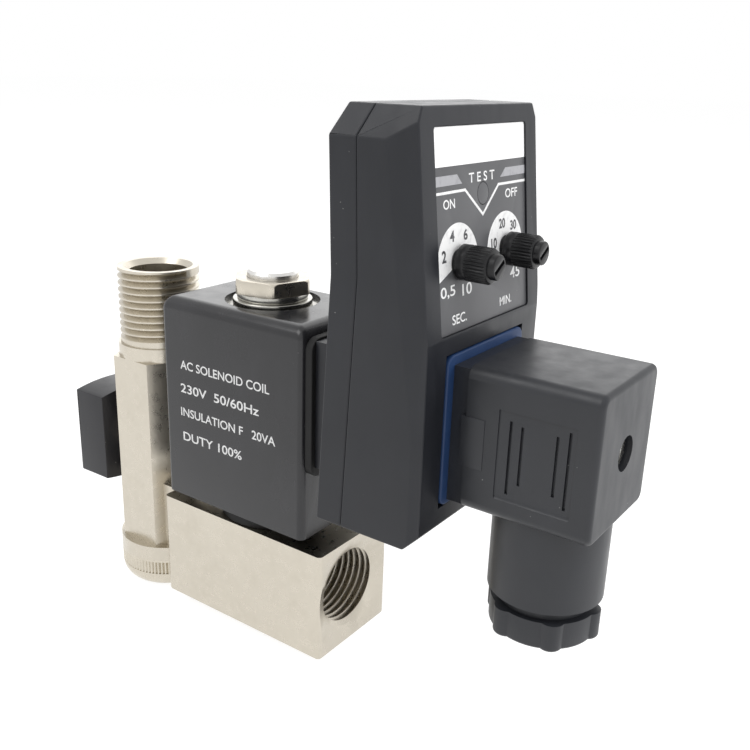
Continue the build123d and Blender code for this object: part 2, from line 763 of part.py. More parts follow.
with BuildPart() as timer_front_shell:
    add(timer_form.part)
    add(seam_tool.part, mode=Mode.INTERSECT)
    add(cavity.part, mode=Mode.SUBTRACT)
    for across, level in shell_screw_places:
        lengthwise(
            back_knee_x + shell_depth, shell_boss_end, across, level, shell_boss_radius
        )
    add(timer_form.part, mode=Mode.INTERSECT)
    lengthwise(back_knee_x + 3.3, gasket_face, 0, plug_level, guard_radius)
    # sunk label panel on the dial, with holes for knob shafts and test key
    with BuildSketch(dial_plane.offset(-label_thickness)):
        with Locations((0, -label_height / 2)):
            RectangleRounded(2 * label_half_width, label_height, 0.8)
    extrude(amount=5, mode=Mode.SUBTRACT)
    with BuildSketch(dial_plane.offset(1)):
        with Locations((0, -key_drop)):
            Circle(key_radius + key_gap)
    extrude(amount=-5, mode=Mode.SUBTRACT)
    shaft_holes(knob_shaft_radius + running_fit, 2, -5)
    # recess for the plug's gasket
    block_between(
        (gasket_face, -gasket_half_width - 0.3, gasket_foot - 0.3),
        (front_x + 5, gasket_half_width + 0.3, gasket_head + 0.3),
        Mode.SUBTRACT,
    )
    blades(gasket_face - timer_wall - 1, gasket_face, plug_contacts, 0.04, Mode.SUBTRACT)
    lengthwise(0, front_x, 0, plug_level, screw_passage_radius, Mode.SUBTRACT)
    for across, level in shell_screw_places:
        lengthwise(0, shell_boss_end - 1.5, across, level, pilot_radius, Mode.SUBTRACT)
write(timer_front_shell, "timer_front_shell")

with BuildPart() as shell_screws:
    for across, level in shell_screw_places:
        lengthwise(shell_screw_seat - 1.8, shell_screw_seat, across, level, 2.6)
        lengthwise(shell_screw_seat, shell_boss_end - 2.5, across, level, pilot_radius - 0.02)
        with Locations((shell_screw_seat - 1.8, across, level)):
            Box(0.9, 0.7, 3.6, align=FROM_LEFT, mode=Mode.SUBTRACT)
            Box(0.9, 3.6, 0.7, align=FROM_LEFT, mode=Mode.SUBTRACT)
write(shell_screws, "shell_screws")

with BuildPart() as rear_gasket:
    with BuildSketch(Plane.YZ.offset(coil_face_x)):
        with Locations((0, plug_level - rear_gasket_drop)):
            RectangleRounded(rear_gasket_width, rear_gasket_height, 3.0)
        with Locations((0, plug_level)):
            Circle(screw_passage_radius, mode=Mode.SUBTRACT)
    extrude(amount=rear_gasket_thickness)
    blades(coil_face_x, rear_x, coil_contacts, 0.6, Mode.SUBTRACT)
write(rear_gasket, "rear_gasket")

with BuildPart() as rear_contacts:
    for across, above in coil_contacts:
        with Locations((rear_x + 1.8, across, plug_level + above)):
            size = (2.6, 7.6) if above == 0 else (7.6, 2.6)
            Box(7.5, *size, align=FROM_LEFT)
    blades(rear_x, blade_tip + 0.5, coil_contacts, 0.3, Mode.SUBTRACT)
write(rear_contacts, "rear_contacts")

front_blade_root = gasket_face - timer_wall - 2.5
front_blade_tip = plug_rear + 9.0
with BuildPart() as timer_blades:
    blades(front_blade_root, front_blade_tip, plug_contacts)
write(timer_blades, "timer_blades")

with BuildPart() as dial_label:
    with BuildSketch(dial_plane.offset(-label_thickness)):
        with Locations((0, -label_height / 2)):
            RectangleRounded(2 * label_half_width - 0.1, label_height - 0.1, 0.75)
        with Locations((0, -key_drop)):
            Circle(key_radius + key_gap, mode=Mode.SUBTRACT)
    extrude(amount=label_thickness)
    shaft_holes(knob_shaft_radius + running_fit, 2, -5)
write(dial_label, "dial_label")

# ------------------------------------------------------ electronics behind the dial
# the board stands upright: distances up and down are from the dials' shafts
wall_inside = -label_thickness - timer_wall + 0.2
pot_front = wall_inside - 0.95
pot_depth = 5.0
pot_width = 2 * (front_cavity_half - 2.2 - knob_places["off_time"])
pot_height = 10.6
board_front = pot_front - pot_depth
board_thickness = 1.6
board_half_width = front_cavity_half - 1.4
board_top = knob_drop - 5.5
board_length = 32.0
key_rise = (knob_drop - key_drop) * cos(radians(dial_tilt))
key_lean = (knob_drop - key_drop + key_radius) * sin(radians(dial_tilt))

with BuildPart() as circuit_board:
    with BuildSketch(shaft_plane.offset(board_front - board_thickness)):
        with Locations((0, board_top - board_length / 2)):
            Rectangle(2 * board_half_width, board_length)
    extrude(amount=board_thickness)
write(circuit_board, "circuit_board")

with BuildPart() as potentiometers:
    with BuildSketch(shaft_plane.offset(board_front)):
        with Locations(*[(across, 0) for across in knob_places.values()]):
            Rectangle(pot_width, pot_height)
    extrude(amount=pot_depth)
    shaft_holes(knob_shaft_radius + running_fit, pot_front + 1, board_front + 0.8)
write(potentiometers, "potentiometers")

key_travel = 0.4
key_length = 3.6
switch_width = 6.0
led_offset = board_half_width - 2.5
led_rise = 15.3
led_radius = 1.5
led_length = 2.2
with BuildPart() as test_key:
    with BuildSketch(dial_plane.offset(-key_length)):
        with Locations((0, -key_drop)):
            Circle(key_radius)
    extrude(amount=key_length)
write(test_key, "test_key")

with BuildPart() as test_switch:
    with BuildSketch(shaft_plane.offset(board_front)):
        with Locations((0, key_rise)):
            Rectangle(switch_width, switch_width)
    extrude(amount=-key_lean - key_length - key_travel - 0.1 - board_front)
write(test_switch, "test_switch")

with BuildPart() as indicator_leds:
    with BuildSketch(shaft_plane.offset(board_front)):
        with Locations((-led_offset, led_rise), (led_offset, led_rise)):
            Circle(led_radius)
    extrude(amount=led_length)
write(indicator_leds, "indicator_leds")

parts_back = board_front - board_thickness
relay_width, relay_height, relay_depth = 15.0, 12.0, 5.5
capacitor_width, capacitor_height, capacitor_depth = 18.0, 8.0, 5.0
relay_across = board_half_width - 1.0 - relay_width / 2
capacitor_across = board_half_width - 3.0 - capacitor_width / 2
with BuildPart() as timer_relay:
    with BuildSketch(shaft_plane.offset(parts_back)):
        with Locations((-relay_across, 12.5)):
            Rectangle(relay_width, relay_height)
    extrude(amount=-relay_depth)
write(timer_relay, "timer_relay")

with BuildPart() as timer_capacitor:
    with BuildSketch(shaft_plane.offset(parts_back)):
        with Locations((capacitor_across, -2.5)):
            Rectangle(capacitor_width, capacitor_height)
    extrude(amount=-capacitor_depth)
write(timer_capacitor, "timer_capacitor")

# ------------------------------------------------------------------- dial knobs
knob_flutes = 20
flute_radius = 0.28
collar_length = 2.4
tip_radius = 2.45               # narrower tip with the driver's slot
tip_length = 1.3
for name, across in knob_places.items():
    with BuildPart() as knob:
        with BuildSketch(shaft_plane.offset(knob_gap)):
            with Locations((across, 0)):
                Circle(knob_radius)
        extrude(amount=knob_height - tip_length - knob_gap)
        chamfer(knob.faces().sort_by(Axis.X)[-1].edges(), length=0.45)
        with BuildSketch(shaft_plane.offset(collar_length)):
            with Locations((across, 0)):
                with PolarLocations(knob_radius, knob_flutes):
                    Circle(flute_radius)
        extrude(amount=knob_height - collar_length, mode=Mode.SUBTRACT)
        with BuildSketch(shaft_plane.offset(knob_height - tip_length)):
            with Locations((across, 0)):
                Circle(tip_radius)
        extrude(amount=tip_length)
        with BuildSketch(shaft_plane.offset(knob_height - 1.0)):
            with Locations(Location((across, 0, 0), (0, 0, 32))):
                Rectangle(3.8, 0.9)
        extrude(amount=1.0, mode=Mode.SUBTRACT)
    write(knob, f"{name}_knob")

    with BuildPart() as knob_shaft:
        with BuildSketch(shaft_plane.offset(board_front + 1.4)):
            with Locations((across, 0)):
                Circle(knob_shaft_radius)
        extrude(amount=knob_gap - board_front - 1.4)
    write(knob_shaft, f"{name}_shaft")

# ------------------------------------------------------------------- cable plug
with BuildPart() as plug_gasket:
    with BuildSketch(Plane.YZ.offset(gasket_face)):
        with Locations((0, (gasket_foot + gasket_head) / 2)):
            RectangleRounded(2 * gasket_half_width, gasket_head - gasket_foot, 2.2)
        with Locations((0, plug_level)):
            Circle(screw_passage_radius, mode=Mode.SUBTRACT)
    extrude(amount=gasket_thickness)
    blades(gasket_face, plug_rear, plug_contacts, 0.6, Mode.SUBTRACT)
write(plug_gasket, "plug_gasket")

insert_half = 11.4
insert_depth = 16.0
flange_length = 3.6
flange_inset = 0.7
plug_top = plug_bottom + plug_height
gland_bottom = plug_bottom - gland_length
with BuildPart() as plug_housing:
    # narrower rear flange, main box and downward gland sleeve
    block_between(
        (plug_rear, -plug_width / 2 + flange_inset, plug_bottom + flange_inset),
        (plug_rear + flange_length, plug_width / 2 - flange_inset, plug_top - flange_inset),
    )
    with BuildSketch(Plane.YZ.offset(plug_rear + flange_length)):
        with Locations((0, plug_level)):
            RectangleRounded(plug_width, plug_height, 2.4)
    extrude(amount=plug_front_x - plug_rear - flange_length)
    fillet(plug_housing.faces().sort_by(Axis.X)[-1].edges(), radius=1.2)
    upright(gland_x, 0, gland_bottom, plug_bottom + 3.0, gland_radius)
    # contact insert's pocket, wiring room, gland bore and screw pocket
    block_between(
        (plug_rear, -insert_half - 0.1, plug_level - insert_half - 0.1),
        (plug_rear + insert_depth + 5.0, insert_half + 0.1, plug_level + insert_half + 0.1),
        Mode.SUBTRACT,
    )
    upright(gland_x, 0, gland_bottom, plug_level - 4.0, gland_bore_radius, Mode.SUBTRACT)
    upright(
        gland_x, 0, gland_bottom, gland_bottom + 9.0, gland_radius - 2.2, Mode.SUBTRACT
    )
    lengthwise(plug_rear, plug_front_x, 0, plug_level, screw_passage_radius, Mode.SUBTRACT)
    lengthwise(plug_front_x - 3.4, plug_front_x, 0, plug_level, 3.6, Mode.SUBTRACT)
write(plug_housing, "plug_housing")

with BuildPart() as plug_insert:
    block_between(
        (plug_rear + 0.2, -insert_half, plug_level - insert_half),
        (plug_rear + insert_depth, insert_half, plug_level + insert_half),
    )
    lengthwise(plug_rear, plug_front_x, 0, plug_level, screw_passage_radius, Mode.SUBTRACT)
    for across, above in plug_contacts:
        size = (2.9, 7.9) if above == 0 else (7.9, 2.9)
        with Locations((plug_rear + 1.2, across, plug_level + above)):
            Box(insert_depth, *size, align=FROM_LEFT, mode=Mode.SUBTRACT)
    blades(plug_rear, plug_rear + insert_depth, plug_contacts, 0.6, Mode.SUBTRACT)
write(plug_insert, "plug_insert")

with BuildPart() as plug_contacts_set:
    for across, above in plug_contacts:
        size = (2.6, 7.6) if above == 0 else (7.6, 2.6)
        with Locations((plug_rear + 1.5, across, plug_level + above)):
            Box(11.0, *size, align=FROM_LEFT)
    blades(plug_rear, front_blade_tip + 0.5, plug_contacts, 0.3, Mode.SUBTRACT)
write(plug_contacts_set, "plug_contacts")

screw_head_seat = plug_front_x - 3.4
with BuildPart() as long_screw:
    lengthwise(long_screw_end, screw_head_seat, 0, plug_level, screw_radius)
    lengthwise(screw_head_seat, screw_head_seat + 2.2, 0, plug_level, 2.75)
    with Locations((screw_head_seat + 1.3, 0, plug_level)):
        Box(1.0, 0.8, 5.6, align=FROM_LEFT, mode=Mode.SUBTRACT)
write(long_screw, "long_screw")

# gland: squeezed rubber sleeve, slip ring and lobed nut
gland_recess_radius = gland_radius - 2.2
cable_radius = 3.6
grommet_top = gland_bottom + 9.0
with BuildPart() as gland_grommet:
    upright(gland_x, 0, gland_bottom + 1.4, grommet_top, gland_recess_radius - 0.1)
    upright(gland_x, 0, gland_bottom, grommet_top, cable_radius, Mode.SUBTRACT)
write(gland_grommet, "gland_grommet")

nut_gap = 2.5
nut_radius = 11.2
nut_depth = 6.2
nut_lobes = 6
gland_nut_top = gland_bottom - nut_gap
with BuildPart() as gland_washer:
    upright(gland_x, 0, gland_bottom, gland_bottom + 1.4, gland_recess_radius - 0.1)
    upright(gland_x, 0, gland_bottom, gland_bottom + 1.4, cable_radius + 0.4, Mode.SUBTRACT)
write(gland_washer, "gland_washer")

with BuildPart() as gland_nut:
    with BuildSketch(Plane.XY.offset(gland_nut_top - nut_depth)):
        with Locations((gland_x, 0)):
            Circle(nut_radius)
            with PolarLocations(nut_radius - 1.6, nut_lobes, start_angle=5):
                Circle(2.6)
    extrude(amount=nut_depth)
    fillet(gland_nut.faces().sort_by(Axis.Z)[0].edges(), radius=0.8)
    upright(gland_x, 0, gland_nut_top, gland_bottom, gland_recess_radius - 0.1)
    upright(gland_x, 0, gland_nut_top - nut_depth, gland_bottom, cable_radius + 0.4, Mode.SUBTRACT)
write(gland_nut, "gland_nut")
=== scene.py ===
"""Looks of the timer-controlled condensate drain valve, dressed over its frame."""
from __future__ import annotations

import json
import logging
import math
from dataclasses import dataclass
from enum import Enum
from typing import Callable, Iterable

import bpy
from mathutils import Matrix, Quaternion, Vector


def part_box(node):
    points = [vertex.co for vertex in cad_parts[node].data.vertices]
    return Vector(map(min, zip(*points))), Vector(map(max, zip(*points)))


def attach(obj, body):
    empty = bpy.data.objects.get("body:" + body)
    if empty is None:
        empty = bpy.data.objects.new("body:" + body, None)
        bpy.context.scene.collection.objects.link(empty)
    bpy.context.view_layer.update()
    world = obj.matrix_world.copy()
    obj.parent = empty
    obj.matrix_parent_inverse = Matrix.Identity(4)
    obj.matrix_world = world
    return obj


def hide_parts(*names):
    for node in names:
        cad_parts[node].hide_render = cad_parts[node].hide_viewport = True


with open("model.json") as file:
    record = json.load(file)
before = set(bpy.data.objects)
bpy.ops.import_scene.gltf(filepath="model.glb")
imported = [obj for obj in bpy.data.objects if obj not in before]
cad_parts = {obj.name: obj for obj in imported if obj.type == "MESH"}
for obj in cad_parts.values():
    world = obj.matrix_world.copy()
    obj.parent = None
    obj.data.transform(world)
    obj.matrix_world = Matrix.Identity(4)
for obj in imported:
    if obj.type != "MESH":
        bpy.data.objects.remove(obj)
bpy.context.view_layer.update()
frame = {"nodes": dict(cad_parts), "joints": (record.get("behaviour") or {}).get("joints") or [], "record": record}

MM = 0.001
MERGE_DISTANCE = 1.5e-6
PLAIN_STROKES = 0.012
BOLD_STROKES = 0.03
DUST = (0.30, 0.30, 0.29)
log = logging.getLogger("drain_valve")

Colour = tuple[float, float, float]
Point = tuple[float, float, float]
Piece = bpy.types.Object
Socket = bpy.types.NodeSocket
Tint = tuple[float, float, float, float]
Feeds = dict[str | int, Socket | float | Point | Tint]
Place = Callable[[Vector], bool]


class Body(Enum):
    """The bodies of the frame that pieces ride on."""

    VALVE = "valve"
    BALL = "ball_valve"
    ON_DIAL = "on_time_dial"
    OFF_DIAL = "off_time_dial"
    BUTTON = "test_button"


class Along(Enum):
    """Direction that a turned or threaded form runs in."""

    X = "x"
    Z = "z"


# ------------------------- bench tools
def put_down() -> None:
    """Deselects every object."""
    if bpy.context.object and bpy.context.object.mode != "OBJECT":
        bpy.ops.object.mode_set(mode="OBJECT")
    bpy.ops.object.select_all(action="DESELECT")


def take(piece: Piece) -> None:
    """Selects one object alone and makes it the active one.

    Args:
        piece: the object.
    """
    put_down()
    piece.select_set(True)
    bpy.context.view_layer.objects.active = piece


def enter(piece: Piece, mode: str = "FACE") -> None:
    """Opens a piece in edit mode with its present selection.

    Args:
        piece: the mesh to edit.
        mode: VERT, EDGE or FACE.
    """
    take(piece)
    bpy.ops.object.mode_set(mode="EDIT")
    bpy.ops.mesh.select_mode(type=mode)


def leave() -> None:
    """Goes back to object mode."""
    bpy.ops.object.mode_set(mode="OBJECT")


def clear_marks(piece: Piece) -> None:
    """Deselects all faces, edges and points of a piece."""
    for group in (piece.data.polygons, piece.data.edges, piece.data.vertices):
        group.foreach_set("select", [False] * len(group))


def mark_edges(piece: Piece, test: Callable[[Vector, Vector], bool]) -> None:
    """Selects the edges whose middle and direction meet a test.

    Args:
        piece: mesh in object mode.
        test: takes the middle and the unit direction.
    """
    clear_marks(piece)
    points = piece.data.vertices
    for edge in piece.data.edges:
        a, b = (points[i].co for i in edge.vertices)
        edge.select = test((a + b) / 2, (b - a).normalized())


def mark_points(piece: Piece, test: Callable[[int, Vector], bool]) -> None:
    """Selects the points whose number and place meet a test.

    Args:
        piece: mesh in object mode.
        test: takes the point's number and place.
    """
    clear_marks(piece)
    for point in piece.data.vertices:
        point.select = test(point.index, point.co)


def apply_modifier(piece: Piece, kind: str, **values: object) -> None:
    """Adds a modifier with the given values and applies it.

    Args:
        piece: the mesh.
        kind: modifier type.
        values: the modifier's properties.
    """
    take(piece)
    modifier = piece.modifiers.new(kind.lower(), kind)
    for key, value in values.items():
        setattr(modifier, key, value)
    bpy.ops.object.modifier_apply(modifier=modifier.name)


def settle(piece: Piece) -> Piece:
    """Applies an object's place, turn and scale to its mesh.

    Args:
        piece: the object.

    Returns:
        The same object.
    """
    take(piece)
    bpy.ops.object.transform_apply(location=True, rotation=True, scale=True)
    return piece


def smooth(piece: Piece, angle: float = 30.0) -> None:
    """Shades a piece smooth, with edges over the angle kept crisp."""
    take(piece)
    bpy.ops.object.shade_smooth_by_angle(angle=math.radians(angle))


def face_out(piece: Piece) -> None:
    """Turns all the faces of a closed piece outwards.

    Args:
        piece: the mesh.
    """
    enter(piece)
    bpy.ops.mesh.select_all(action="SELECT")
    bpy.ops.mesh.normals_make_consistent(inside=False)
    leave()


def round_edges(
    piece: Piece, width: float, angle: float = 35.0, segments: int = 3
) -> None:
    """Rounds every edge sharper than an angle.

    Args:
        piece: the mesh.
        width: width of the round in millimetres.
        angle: edges that turn more than this are rounded.
        segments: steps across the round.
    """
    apply_modifier(
        piece, "BEVEL", width=width * MM, segments=segments, limit_method="ANGLE",
        angle_limit=math.radians(angle), use_clamp_overlap=True, miter_outer="MITER_ARC",
    )


def round_marked(
    piece: Piece, width: float, segments: int = 3, clamp: bool = True
) -> None:
    """Rounds the selected edges of a piece.

    Args:
        piece: the mesh.
        width: width of the round in millimetres.
        segments: steps across the round.
        clamp: whether a round narrows where small edges leave it no room.
    """
    enter(piece, "EDGE")
    bpy.ops.mesh.bevel(
        offset=width * MM, segments=segments, profile=0.5, affect="EDGES", clamp_overlap=clamp
    )
    leave()


def round_ridges(
    piece: Piece, width: float, angle: float, shortest: float,
    where: Place = lambda middle: True, clamp: bool = True,
) -> None:
    """Rounds only the long ridges of a piece.

    Args:
        piece: the mesh.
        width: width of the round in millimetres.
        angle: edges that turn more than this are rounded.
        shortest: length in millimetres under which an edge is left.
        where: takes an edge's middle and says whether it may be rounded.
        clamp: whether a round narrows where small edges leave it no room.
    """
    sides: dict[tuple[int, int], list[Vector]] = {}
    for face in piece.data.polygons:
        for key in face.edge_keys:
            sides.setdefault(key, []).append(face.normal)
    points = piece.data.vertices
    clear_marks(piece)
    for edge in piece.data.edges:
        a, b = (points[i].co for i in edge.vertices)
        pair = sides.get(edge.key, [])
        edge.select = (
            len(pair) == 2 and (a - b).length > shortest * MM and where((a + b) / 2)
            and pair[0].angle(pair[1], 0.0) > math.radians(angle)
        )
    round_marked(piece, width, clamp=clamp)


def combine(
    piece: Piece, tool: Piece, operation: str = "DIFFERENCE"
) -> None:
    """Cuts a tool out of a piece, or joins it on, and removes the tool.

    Args:
        piece: the mesh that stays.
        tool: a closed mesh.
        operation: DIFFERENCE or UNION.
    """
    apply_modifier(piece, "BOOLEAN", object=tool, operation=operation, solver="EXACT")
    bpy.data.objects.remove(tool)


def from_cad(node: str, name: str) -> Piece:
    """Copies a frame node's mesh, with its loose triangles merged to clean faces.

    Args:
        node: name of the frame's node.
        name: name of the new piece.

    Returns:
        The new piece, with no material yet.
    """
    piece = bpy.data.objects.new(name, frame["nodes"][node].data.copy())
    bpy.context.scene.collection.objects.link(piece)
    piece.data.materials.clear()
    enter(piece, "VERT")
    bpy.ops.mesh.select_all(action="SELECT")
    bpy.ops.mesh.remove_doubles(threshold=MERGE_DISTANCE)
    bpy.ops.mesh.customdata_custom_splitnormals_clear()
    bpy.ops.mesh.dissolve_limited(angle_limit=math.radians(0.6))
    leave()
    return piece


def drum(
    name: str, radius: float, start: Point, length: float, along: Along = Along.Z,
    sides: int = 64, tip: float | None = None,
) -> Piece:
    """A round blank, straight or tapered.

    Args:
        name: name of the piece.
        radius: radius at its start, in millimetres.
        start: centre of its first end, in millimetres.
        length: length in millimetres.
        along: its direction.
        sides: faces round it.
        tip: radius at its far end, if it tapers.

    Returns:
        The blank, settled in place.
    """
    put_down()
    turn = (0.0, math.pi / 2, 0.0) if along is Along.X else (0.0, 0.0, 0.0)
    step = Vector((length / 2, 0, 0)) if along is Along.X else Vector((0, 0, length / 2))
    bpy.ops.mesh.primitive_cone_add(
        vertices=sides, radius1=radius * MM, radius2=(radius if tip is None else tip) * MM,
        depth=length * MM, location=(Vector(start) + step) * MM, rotation=turn,
    )
    piece = bpy.context.object
    piece.name = name
    return settle(piece)


def slab(name: str, low: Point, high: Point) -> Piece:
    """A block blank between two corners.

    Args:
        name: name of the piece.
        low: its lowest corner in millimetres.
        high: its highest corner.

    Returns:
        The blank, settled in place.
    """
    put_down()
    a, b = Vector(low), Vector(high)
    bpy.ops.mesh.primitive_cube_add(size=1.0, location=(a + b) / 2 * MM, scale=(b - a) * MM)
    piece = bpy.context.object
    piece.name = name
    return settle(piece)


def coil_tool(
    pitch: float, turns: int, root: float, crest: float, start: Point, along: Along
) -> Piece:
    """A triangular thread cutter wound round an axis.

    Args:
        pitch: rise of each turn in millimetres.
        turns: how many turns.
        root: radius of the flat side of its profile.
        crest: radius of its point.
        start: centre of its first turn, in millimetres.
        along: axis direction.

    Returns:
        The closed cutter.
    """
    put_down()
    bpy.ops.mesh.primitive_circle_add(vertices=3, radius=MM, fill_type="NOTHING")
    tool = bpy.context.object
    half = pitch * 0.485
    for point, (reach, level) in zip(
        tool.data.vertices, ((root, -half), (crest, 0.0), (root, half))
    ):
        point.co = Vector((reach * MM, 0.0, level * MM))
    apply_modifier(
        tool, "SCREW", angle=math.tau, screw_offset=pitch * MM, iterations=turns,
        steps=56, render_steps=56, use_merge_vertices=False,
    )
    enter(tool, "EDGE")
    bpy.ops.mesh.select_all(action="DESELECT")
    bpy.ops.mesh.select_non_manifold()
    bpy.ops.mesh.fill_holes(sides=4)
    leave()
    face_out(tool)
    if along is Along.X:
        tool.rotation_euler = (0.0, math.pi / 2, 0.0)
    tool.location = Vector(start) * MM
    return settle(tool)


# ---------------------------- finishes
class Graph:
    """The node tree of a material or world, with short calls to add and join nodes."""

    def __init__(
        self, owner: bpy.types.Material | bpy.types.World, shader: str = "Principled BSDF"
    ) -> None:
        """Opens the owner's node tree.

        Args:
            owner: the material or world.
            shader: name of the shader that it starts with.
        """
        owner.use_nodes = True
        self.nodes, self.links = owner.node_tree.nodes, owner.node_tree.links
        self.shader = self.nodes[shader]

    def feed(self, node: bpy.types.Node, feeds: Feeds) -> None:
        """Joins or sets the inputs of a node.

        Args:
            node: the node.
            feeds: a socket to join, or a value to set, for each input.
        """
        for name, value in feeds.items():
            if isinstance(value, Socket):
                self.links.new(value, node.inputs[name])
            else:
                node.inputs[name].default_value = value

    def add(self, kind: str, feeds: Feeds) -> bpy.types.Node:
        """Adds a node and feeds its inputs.

        Args:
            kind: the end of the node type's name.
            feeds: what its inputs take.

        Returns:
            The node.
        """
        node = self.nodes.new(f"ShaderNode{kind}")
        self.feed(node, feeds)
        return node

    def place(self) -> Socket:
        """A point's place on its own piece."""
        return self.add("TexCoord", {}).outputs["Object"]

    def noise(
        self, scale: float, detail: float = 3.0, stretch: Point = (1, 1, 1), rough: float = 0.5
    ) -> Socket:
        """A noise pattern on the piece's own place.

        Args:
            scale: how fine it is.
            detail: layers of finer noise.
            stretch: scale of each direction.
            rough: weight of the finer layers.

        Returns:
            Its value socket.
        """
        mapping = self.add("Mapping", {"Scale": stretch, "Vector": self.place()})
        node = self.add("TexNoise", {
            "Scale": scale, "Detail": detail, "Roughness": rough,
            "Vector": mapping.outputs["Vector"],
        })
        return node.outputs["Fac"]

    def maths(self, operation: str, a: Socket, b: Socket | float) -> Socket:
        """One step of arithmetic on two values.

        Args:
            operation: the step.
            a: first value.
            b: second value.

        Returns:
            Its value socket.
        """
        node = self.add("Math", {0: a, 1: b})
        node.operation = operation
        return node.outputs["Value"]

    def specks(self, scale: float, limit: float) -> Socket:
        """Sparse specks, one where a cell's centre is nearer than the limit."""
        cells = self.add("TexVoronoi", {"Scale": scale, "Vector": self.place()})
        return self.maths("LESS_THAN", cells.outputs["Distance"], limit)

    def product(self, a: Socket, b: Socket) -> Socket:
        """Two values multiplied."""
        return self.maths("MULTIPLY", a, b)

    def span(
        self, value: Socket, low: float, high: float, start: float = 0.3, end: float = 0.7
    ) -> Socket:
        """Maps a value from one range to another.

        Args:
            value: value socket.
            low: what the start becomes.
            high: what the end becomes.
            start: first value of the range.
            end: last value.

        Returns:
            Its value socket.
        """
        node = self.add("MapRange", {
            "From Min": start, "From Max": end, "To Min": low, "To Max": high, "Value": value,
        })
        return node.outputs["Result"]

    def blend(self, factor: Socket, a: Colour | Socket, b: Colour) -> Socket:
        """Mixes two colours by a factor.

        Args:
            factor: value socket.
            a: colour, or colour socket, where the factor is 0.
            b: colour where it is 1.

        Returns:
            The colour socket.
        """
        node = self.nodes.new("ShaderNodeMix")
        node.data_type = "RGBA"
        first = a if isinstance(a, Socket) else (*a, 1.0)
        self.feed(node, {0: factor, 6: first, 7: (*b, 1.0)})
        return node.outputs[2]

    def relief(
        self, height: Socket, strength: float, depth: float, under: Socket | None = None
    ) -> Socket:
        """A bump, laid over another if one is given.

        Args:
            height: value socket of its height.
            strength: how much of it shows.
            depth: its depth in millimetres.
            under: the bump below it.

        Returns:
            Its normal socket.
        """
        node = self.add("Bump", {"Strength": strength, "Distance": depth * MM, "Height": height})
        if under is not None:
            self.feed(node, {"Normal": under})
        return node.outputs["Normal"]

    def wire(self, **values: Socket | float | Tint) -> None:
        """Joins sockets, or sets values, on the shader by input name."""
        self.feed(self.shader, {name.replace("_", " "): value for name, value in values.items()})


@dataclass(frozen=True)
class Metal:
    """Plated or bare metal with tool marks and a faint stain."""

    name: str
    colour: Colour
    stain: Colour
    polish: tuple[float, float]
    marks: Point = (1, 1, 1)
    mark_scale: float = 2500.0
    mark_depth: float = 0.004
    stain_amount: float = 0.6

    def paint(self, graph: Graph) -> None:
        """Builds the finish.

        Args:
            graph: a new material's graph.
        """
        cloud = graph.noise(95.0, 4.0)
        patch = graph.noise(420.0, 5.0, rough=0.65)
        marks = graph.noise(self.mark_scale, 3.0, self.marks)
        worn = graph.product(graph.span(cloud, 0.0, 1.0), graph.span(patch, 0.0, self.stain_amount))
        graph.wire(
            Base_Color=graph.blend(worn, self.colour, self.stain),
            Metallic=1.0,
            Roughness=graph.span(patch, *self.polish),
            Normal=graph.relief(
                marks, 0.5, self.mark_depth, graph.relief(cloud, 0.25, 0.08)
            ),
        )


@dataclass(frozen=True)
class Moulded:
    """Moulded plastic or rubber with fine grain, sheen changes and a little dust."""

    name: str
    colour: Colour
    light: Colour
    gloss: tuple[float, float]
    grain: float = 0.010
    dust: float = 0.040
    specular: float = 0.5

    def paint(self, graph: Graph) -> None:
        """Builds the finish.

        Args:
            graph: a new material's graph.
        """
        cloud = graph.noise(70.0, 3.0)
        flow = graph.noise(260.0, 4.0, (1.0, 1.0, 0.35))
        grain = graph.noise(5200.0, 2.0)
        shade = graph.blend(
            graph.product(graph.span(cloud, 0.0, 1.0), graph.span(flow, 0.2, 1.0)),
            self.colour, self.light,
        )
        if self.dust > 0:
            settled = graph.product(
                graph.specks(330.0, self.dust), graph.span(cloud, 0.0, 0.7, 0.5, 0.62)
            )
            shade = graph.blend(settled, shade, DUST)
        graph.wire(
            Base_Color=shade,
            Roughness=graph.span(flow, *self.gloss),
            Specular_IOR_Level=self.specular,
            Normal=graph.relief(grain, 0.55, self.grain, graph.relief(flow, 0.2, 0.02)),
        )


@dataclass(frozen=True)
class Ink:
    """Printed film with a slightly uneven edge of colour."""

    name: str
    colour: Colour
    thin: Colour
    gloss: tuple[float, float] = (0.35, 0.5)

    def paint(self, graph: Graph) -> None:
        """Builds the finish.

        Args:
            graph: a new material's graph.
        """
        spread = graph.noise(900.0, 4.0)
        graph.wire(
            Base_Color=graph.blend(graph.span(spread, 0.0, 1.0, 0.5, 0.8), self.colour, self.thin),
            Roughness=graph.span(spread, *self.gloss),
            Normal=graph.relief(graph.noise(3500.0), 0.2, 0.004),
        )


@dataclass(frozen=True)
class Lens:
    """Clear moulded lens."""

    name: str

    def paint(self, graph: Graph) -> None:
        """Builds the finish.

        Args:
            graph: a new material's graph.
        """
        flow = graph.noise(700.0)
        graph.wire(
            Base_Color=graph.blend(flow, (0.86, 0.9, 0.9), (0.93, 0.95, 0.95)),
            Roughness=graph.span(flow, 0.05, 0.14),
            Transmission_Weight=0.85,
            IOR=1.49,
        )


Finish = Metal | Moulded | Ink | Lens

